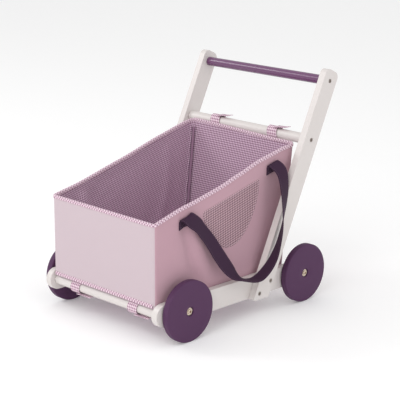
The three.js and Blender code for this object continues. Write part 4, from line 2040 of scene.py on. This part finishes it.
@dataclass
class CarryStrap:
    """Flat webbing that hangs in a twisted bight from two ends sewn to the side of the bag."""

    side: Side
    bag: Bag
    width: float = 25 * MM
    thickness: float = 1.5 * MM
    edge_share: float = 0.42
    route: tuple[StrapStation, ...] = (
        StrapStation(0.0, 1.4, 1.7, 20, 1.0),
        StrapStation(0.0, 0.4, 3.6, 20, 1.0),
        StrapStation(0.003, 0.9, 6.4, 20, 1.0),
        StrapStation(0.018, 4.0, 8.8, 20, 1.0),
        StrapStation(0.05, 10.5, 10.0, 20, 0.85),
        StrapStation(0.1, 21.0, 10.4, 19, 0.5),
        StrapStation(0.142, 33.5, 10.8, 17, 0.15),
        StrapStation(0.229, 60.0, 12.4, 10),
        StrapStation(0.297, 87.0, 16.8, 3),
        StrapStation(0.363, 111.5, 21.0, 7),
        StrapStation(0.427, 130.3, 24.4, 28),
        StrapStation(0.48, 141.0, 27.6, 60),
        StrapStation(0.54, 152.2, 30.4, 84),
        StrapStation(0.6, 158.6, 34.0, 91),
        StrapStation(0.668, 160.6, 36.8, 92),
        StrapStation(0.752, 155.0, 38.3, 96),
        StrapStation(0.835, 143.2, 38.6, 106),
        StrapStation(0.895, 125.2, 38.4, 120),
        StrapStation(0.939, 102.0, 38.0, 131),
        StrapStation(0.967, 79.3, 36.4, 145),
        StrapStation(0.992, 58.2, 33.2, 159),
        StrapStation(1.013, 39.2, 28.6, 171),
        StrapStation(1.025, 21.5, 22.8, 176, 0.4),
        StrapStation(1.024, 10.5, 15.8, 176, 0.9),
        StrapStation(1.006, 3.2, 9.4, 176, 1.0),
        StrapStation(1.0, 0.4, 4.6, 176, 1.0),
        StrapStation(1.0, 1.4, 1.7, 176, 1.0),
    )

    def anchors(self) -> tuple[Vector, Vector]:
        """The tops of the two sewn ends, in the middle of their width.

        Returns:
            The front and rear tops.
        """
        ends = []
        for name in ("front", "rear"):
            low, high = corners_of(f"strap_end_{name}_right")
            ends.append(Vector((low.x, (low.y + high.y) / 2, high.z + self.thickness + 0.4 * MM)))
        return ends[0], ends[1]

    def run(self, steps_each: int = 8) -> list[tuple[Vector, Vector, float]]:
        """Works out the strap's middle line.

        Args:
            steps_each: Steps between two stations.

        Returns:
            For each step its middle, the direction across the webbing and the length so far.
        """
        front, rear = self.anchors()
        stations = []
        for place in self.route:
            point = front.lerp(rear, place.share)
            point.z -= place.drop * MM
            point.x = self.bag.half_width + place.out * MM
            stations.append(point)
        level = (rear - front).normalized()
        leans = [Vector((place.turn, place.level, 0)) for place in self.route]
        middles, turns = [], []
        for i in range(len(stations) - 1):
            four = [min(max(i + k, 0), len(stations) - 1) for k in (-1, 0, 1, 2)]
            for step in range(steps_each + (1 if i == len(stations) - 2 else 0)):
                t = step / steps_each
                middles.append(self.blend4([stations[k] for k in four], t))
                turns.append(self.blend4([leans[k] for k in four], t))
        made = []
        length = 0.0
        for i, (middle, lean) in enumerate(zip(middles, turns)):
            ahead = middles[min(i + 1, len(middles) - 1)] - middles[max(i - 1, 0)]
            ahead.normalize()
            flat = Vector((1, 0, 0)).cross(ahead).normalized()
            span = (Matrix.Rotation(-math.radians(lean.x), 3, ahead) @ flat).lerp(
                level, min(max(lean.y, 0), 1)
            )
            across = (span - ahead * span.dot(ahead)).normalized()
            if i:
                length += (middle - middles[i - 1]).length
            made.append((middle, across, length))
        return made

    @staticmethod
    def blend4(values: Sequence[Vector], t: float) -> Vector:
        """A smooth curve through four values, read between the middle two."""
        a, b, c, d = values
        return 0.5 * (
            2 * b + (c - a) * t + (2 * a - 5 * b + 4 * c - d) * t * t + (3 * b - a - 3 * c + d) * t**3
        )

    def ribbon(
        self, line: Sequence[tuple[Vector, Vector, float]], ahead_of: Callable[[int], Vector]
    ) -> Surface:
        """Wraps the webbing's rounded flat section round a line.

        Args:
            line: The strap's middle line.
            ahead_of: Gives the line's direction at a step.

        Returns:
            The webbing's surface.
        """
        section = []
        half, thick = self.width / 2, self.thickness / 2
        for k in range(13):
            section.append(((k / 6 - 1) * (half - 0.4 * MM), thick))
        section.append((half, 0.0))
        for k in range(13):
            section.append(((1 - k / 6) * (half - 0.4 * MM), -thick))
        section.append((-half, 0.0))
        rings, places = [], []
        for i, (middle, across, length) in enumerate(line):
            up = ahead_of(i).cross(across).normalized()
            ring = []
            for a, b in section:
                cupped = 0.35 * MM * (a / half) ** 2
                ring.append(middle + across * a + up * (b + cupped))
                places.append((length, a))
            rings.append(ring)
        surface = capped(rings)
        surface.places = places
        return surface

    def build_ribbon(self, materials: Materials) -> None:
        """Builds the hanging part, which swings with the strap's body.

        Args:
            materials: The stroller's materials.
        """
        line = self.run()

        def ahead_of(i: int) -> Vector:
            """The line's direction at one step."""
            step = line[min(i + 1, len(line) - 1)][0] - line[max(i - 1, 0)][0]
            return step.normalized()

        surface = self.ribbon(line, ahead_of).mirrored(self.side)
        strap = make_object(
            f"strap_webbing_{self.side.tag}", surface, materials.webbing, WEBBING_CREASE_DEGREES
        )
        body = Body.STRAP_RIGHT if self.side is Side.RIGHT else Body.STRAP_LEFT
        attach(strap, body, "webbing", f"carry_strap_{self.side.tag}")
        f"strap_tab_front_{self.side.tag}"
        f"strap_tab_rear_{self.side.tag}"
        for name, sign in (("front_edge", -1), ("back_edge", 1)):
            edge = self.edge_share * self.width * sign
            for face in (1, -1):
                seam_line, seam_face = [], []
                for i, (middle, across, _) in enumerate(line):
                    up = ahead_of(i).cross(across).normalized()
                    seam_line.append(middle + across * edge + up * (face * self.thickness / 2 + 0.25 * MM))
                    seam_face.append(up * face)
                mirrored = [Vector((p.x * self.side.value, p.y, p.z)) for p in seam_line]
                facing = [Vector((p.x * self.side.value, p.y, p.z)) for p in seam_face]
                tag = "out" if face > 0 else "in"
                row = stitches(
                    f"strap_{name}_{tag}_{self.side.tag}",
                    mirrored,
                    facing,
                    materials.plum_thread,
                    3.2 * MM,
                    2.2 * MM,
                    0.2 * MM,
                )
                attach(row, body, "webbing")

    def build_tabs(self, materials: Materials) -> None:
        """Builds the sewn ends, each with a boxed row of stitches.

        Args:
            materials: The stroller's materials.
        """
        for end in ("front", "rear"):
            node = f"strap_end_{end}_{self.side.tag}"
            low, high = corners_of(f"strap_end_{end}_right")
            rise = self.bag.slope * 0.9
            rings, places = [], []
            rows = 12
            for row in range(rows + 1):
                share = row / rows
                ring = []
                curl = 1.7 * MM * smooth_step(0.8, 1.0, share)
                count = 12
                for face, thick in ((0, 0.0), (1, self.thickness)):
                    for k in range(count + 1):
                        across = k / count if face == 0 else 1 - k / count
                        y = low.y + (high.y - low.y) * across
                        tilt = rise * (y - (low.y + high.y) / 2)
                        z = low.z + (high.z + 0.5 * MM - low.z) * share + tilt
                        ring.append(self.bag.side_point(Side.RIGHT, y, z, 0.25 * MM + thick + curl))
                        places.append((share * (high.z - low.z), across * self.width))
                rings.append(ring)
            surface = capped(rings)
            surface.places = places
            tab = make_object(
                f"strap_tab_{end}_{self.side.tag}",
                surface.mirrored(self.side),
                materials.webbing,
                WEBBING_CREASE_DEGREES,
            )
            attach(tab, Body.ROOT, "webbing", node)
            self.build_box_stitch(end, low, high, rise, materials)

    def build_box_stitch(
        self, end: str, low: Vector, high: Vector, rise: float, materials: Materials
    ) -> None:
        """Sews a box with a cross in it through a sewn end.

        Args:
            end: Which sewn end.
            low: The sewn end's lowest corner, on the right side.
            high: The sewn end's highest corner, on the right side.
            rise: How steeply the end is tilted.
            materials: The stroller's materials.
        """
        inset = 2.5 * MM
        corners = [
            (low.y + inset, low.z + inset),
            (high.y - inset, low.z + inset),
            (high.y - inset, high.z - inset),
            (low.y + inset, high.z - inset),
        ]
        path = [corners[i] for i in (0, 1, 2, 3, 0, 2)]
        middle = (low.y + high.y) / 2
        line = []
        for (y0, z0), (y1, z1) in zip(path, path[1:]):
            for step in range(8):
                share = step / 8
                y, z = y0 + (y1 - y0) * share, z0 + (z1 - z0) * share
                tilt = rise * (y - middle)
                line.append(self.bag.side_point(self.side, y, z + tilt, self.thickness + 0.35 * MM))
        row = stitches(
            f"strap_box_stitch_{end}_{self.side.tag}",
            line,
            [Vector((self.side.value, 0, 0))] * len(line),
            materials.plum_thread,
            2.6 * MM,
            1.8 * MM,
            0.25 * MM,
        )
        attach(row, Body.ROOT, "webbing")

    def build(self, materials: Materials) -> None:
        """Builds the whole strap."""
        self.build_tabs(materials)
        self.build_ribbon(materials)


# ---- Studio --------------------------------------------------------------------------------


@dataclass
class Studio:
    """A pale floor, soft light from the low end, and the camera."""

    azimuth: float = 44.83
    elevation: float = 15.26
    roll: float = 0.25
    distance: float = 2.274
    lens: float = 120.663
    across: float = 18.52 * MM
    above: float = -55.08 * MM
    aim_height: float = 0.235
    sensor: float = 36.0
    ambient: float = 0.8
    key_power: float = 25.0
    fill_power: float = 4.0
    side_power: float = 12.0

    def camera(self) -> None:
        """Places the camera."""
        a, e, r = (math.radians(v) for v in (self.azimuth, self.elevation, self.roll))
        back = Vector((math.sin(a) * math.cos(e), -math.cos(a) * math.cos(e), math.sin(e)))
        right = Vector((math.cos(a), math.sin(a), 0))
        up = back.cross(right)
        place = Vector(
            (0, 0, self.aim_height)
        ) + right * self.across + up * self.above + back * self.distance
        level, upward = right * math.cos(r) + up * math.sin(r), up * math.cos(r) - right * math.sin(r)
        data = bpy.data.cameras.new("camera")
        data.sensor_width = self.sensor
        data.lens = self.lens
        data.clip_end = 100
        camera = bpy.data.objects.new("camera", data)
        turn = Matrix((level, upward, back)).transposed().to_4x4()
        camera.matrix_world = Matrix.Translation(place) @ turn
        bpy.context.scene.collection.objects.link(camera)
        bpy.context.scene.camera = camera

    def light(self, name: str, place: Vector, aim: Vector, size: float, power: float) -> None:
        """Adds one square soft light.

        Args:
            name: The light's name.
            place: Where it stands.
            aim: What it points at.
            size: Its side.
            power: Its power in watts.
        """
        data = bpy.data.lights.new(name, "AREA")
        data.size = size
        data.energy = power
        lamp = bpy.data.objects.new(name, data)
        lamp.location = place
        lamp.rotation_mode = "QUATERNION"
        lamp.rotation_quaternion = (aim - place).to_track_quat("-Z", "Y")
        bpy.context.scene.collection.objects.link(lamp)

    def floor(self) -> None:
        """Lays the pale floor."""
        reach = 12.0
        corners = [
            Vector((x, y, -0.2 * MM))
            for x, y in ((-reach, -reach), (reach, -reach), (reach, reach), (-reach, reach))
        ]
        material, _, principled = start_material("studio_floor")
        principled.inputs["Base Color"].default_value = (0.93, 0.93, 0.93, 1.0)
        principled.inputs["Roughness"].default_value = 0.9
        principled.inputs["Emission Color"].default_value = (1.0, 1.0, 1.0, 1.0)
        principled.inputs["Emission Strength"].default_value = 0.12
        make_object("floor", Surface(corners, [(0, 1, 2, 3)]), material)

    def build(self) -> None:
        """Sets up the whole studio."""
        self.camera()
        world = bpy.data.worlds.new("studio")
        world.use_nodes = True
        background = world.node_tree.nodes["Background"]
        background.inputs["Color"].default_value = (1.0, 1.0, 1.0, 1.0)
        shade = Shader(world.node_tree)
        seen = shade.node("ShaderNodeLightPath").outputs["Is Camera Ray"]
        shade.feed(background.inputs["Strength"], shade.remap(seen, self.ambient, 1.0))
        bpy.context.scene.world = world
        aim = Vector((0, 0, 0.18))
        self.light("key", Vector((0.75, -2.5, 2.0)), aim, 1.6, self.key_power)
        self.light("side", Vector((-2.0, -1.3, 1.7)), aim, 0.7, self.side_power)
        self.light("fill", Vector((2.3, -0.3, 1.1)), aim, 1.2, self.fill_power)
        self.floor()
        bpy.context.scene.view_settings.view_transform = "Standard"


# ---- Carried-over nodes --------------------------------------------------------------------


def dress_nodes(materials: Materials) -> None:
    """Gives the CAD nodes that stay their own finishes.

    Args:
        materials: The stroller's materials.
    """
    for name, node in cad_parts.items():
        if name.startswith("spacer_"):
            material = materials.nylon
        elif name.startswith("insert_nut_"):
            material = materials.grey_metal
        elif name == "base_board":
            material = materials.board
        else:
            continue
        piece = bpy.data.objects[node] if isinstance(node, str) else node
        piece.data.materials.clear()
        piece.data.materials.append(material)
        log.info("%s: kept from the CAD", name)


def main() -> None:
    """Builds the stroller, from its studio to its straps."""
    Studio().build()
    materials = make_materials()
    dress_nodes(materials)
    for side in Side:
        SideFrame(side).build(materials)
    Bars().build(materials)
    for end in ("front", "rear"):
        for side in Side:
            Wheel(end, side).build(materials)
    bag = Bag()
    bag.build(materials)
    for end in LoopEnd:
        for side in Side:
            BarLoop(end, side).build(materials)
    for side in Side:
        CarryStrap(side, bag).build(materials)


if __name__ == "__main__":
    main()
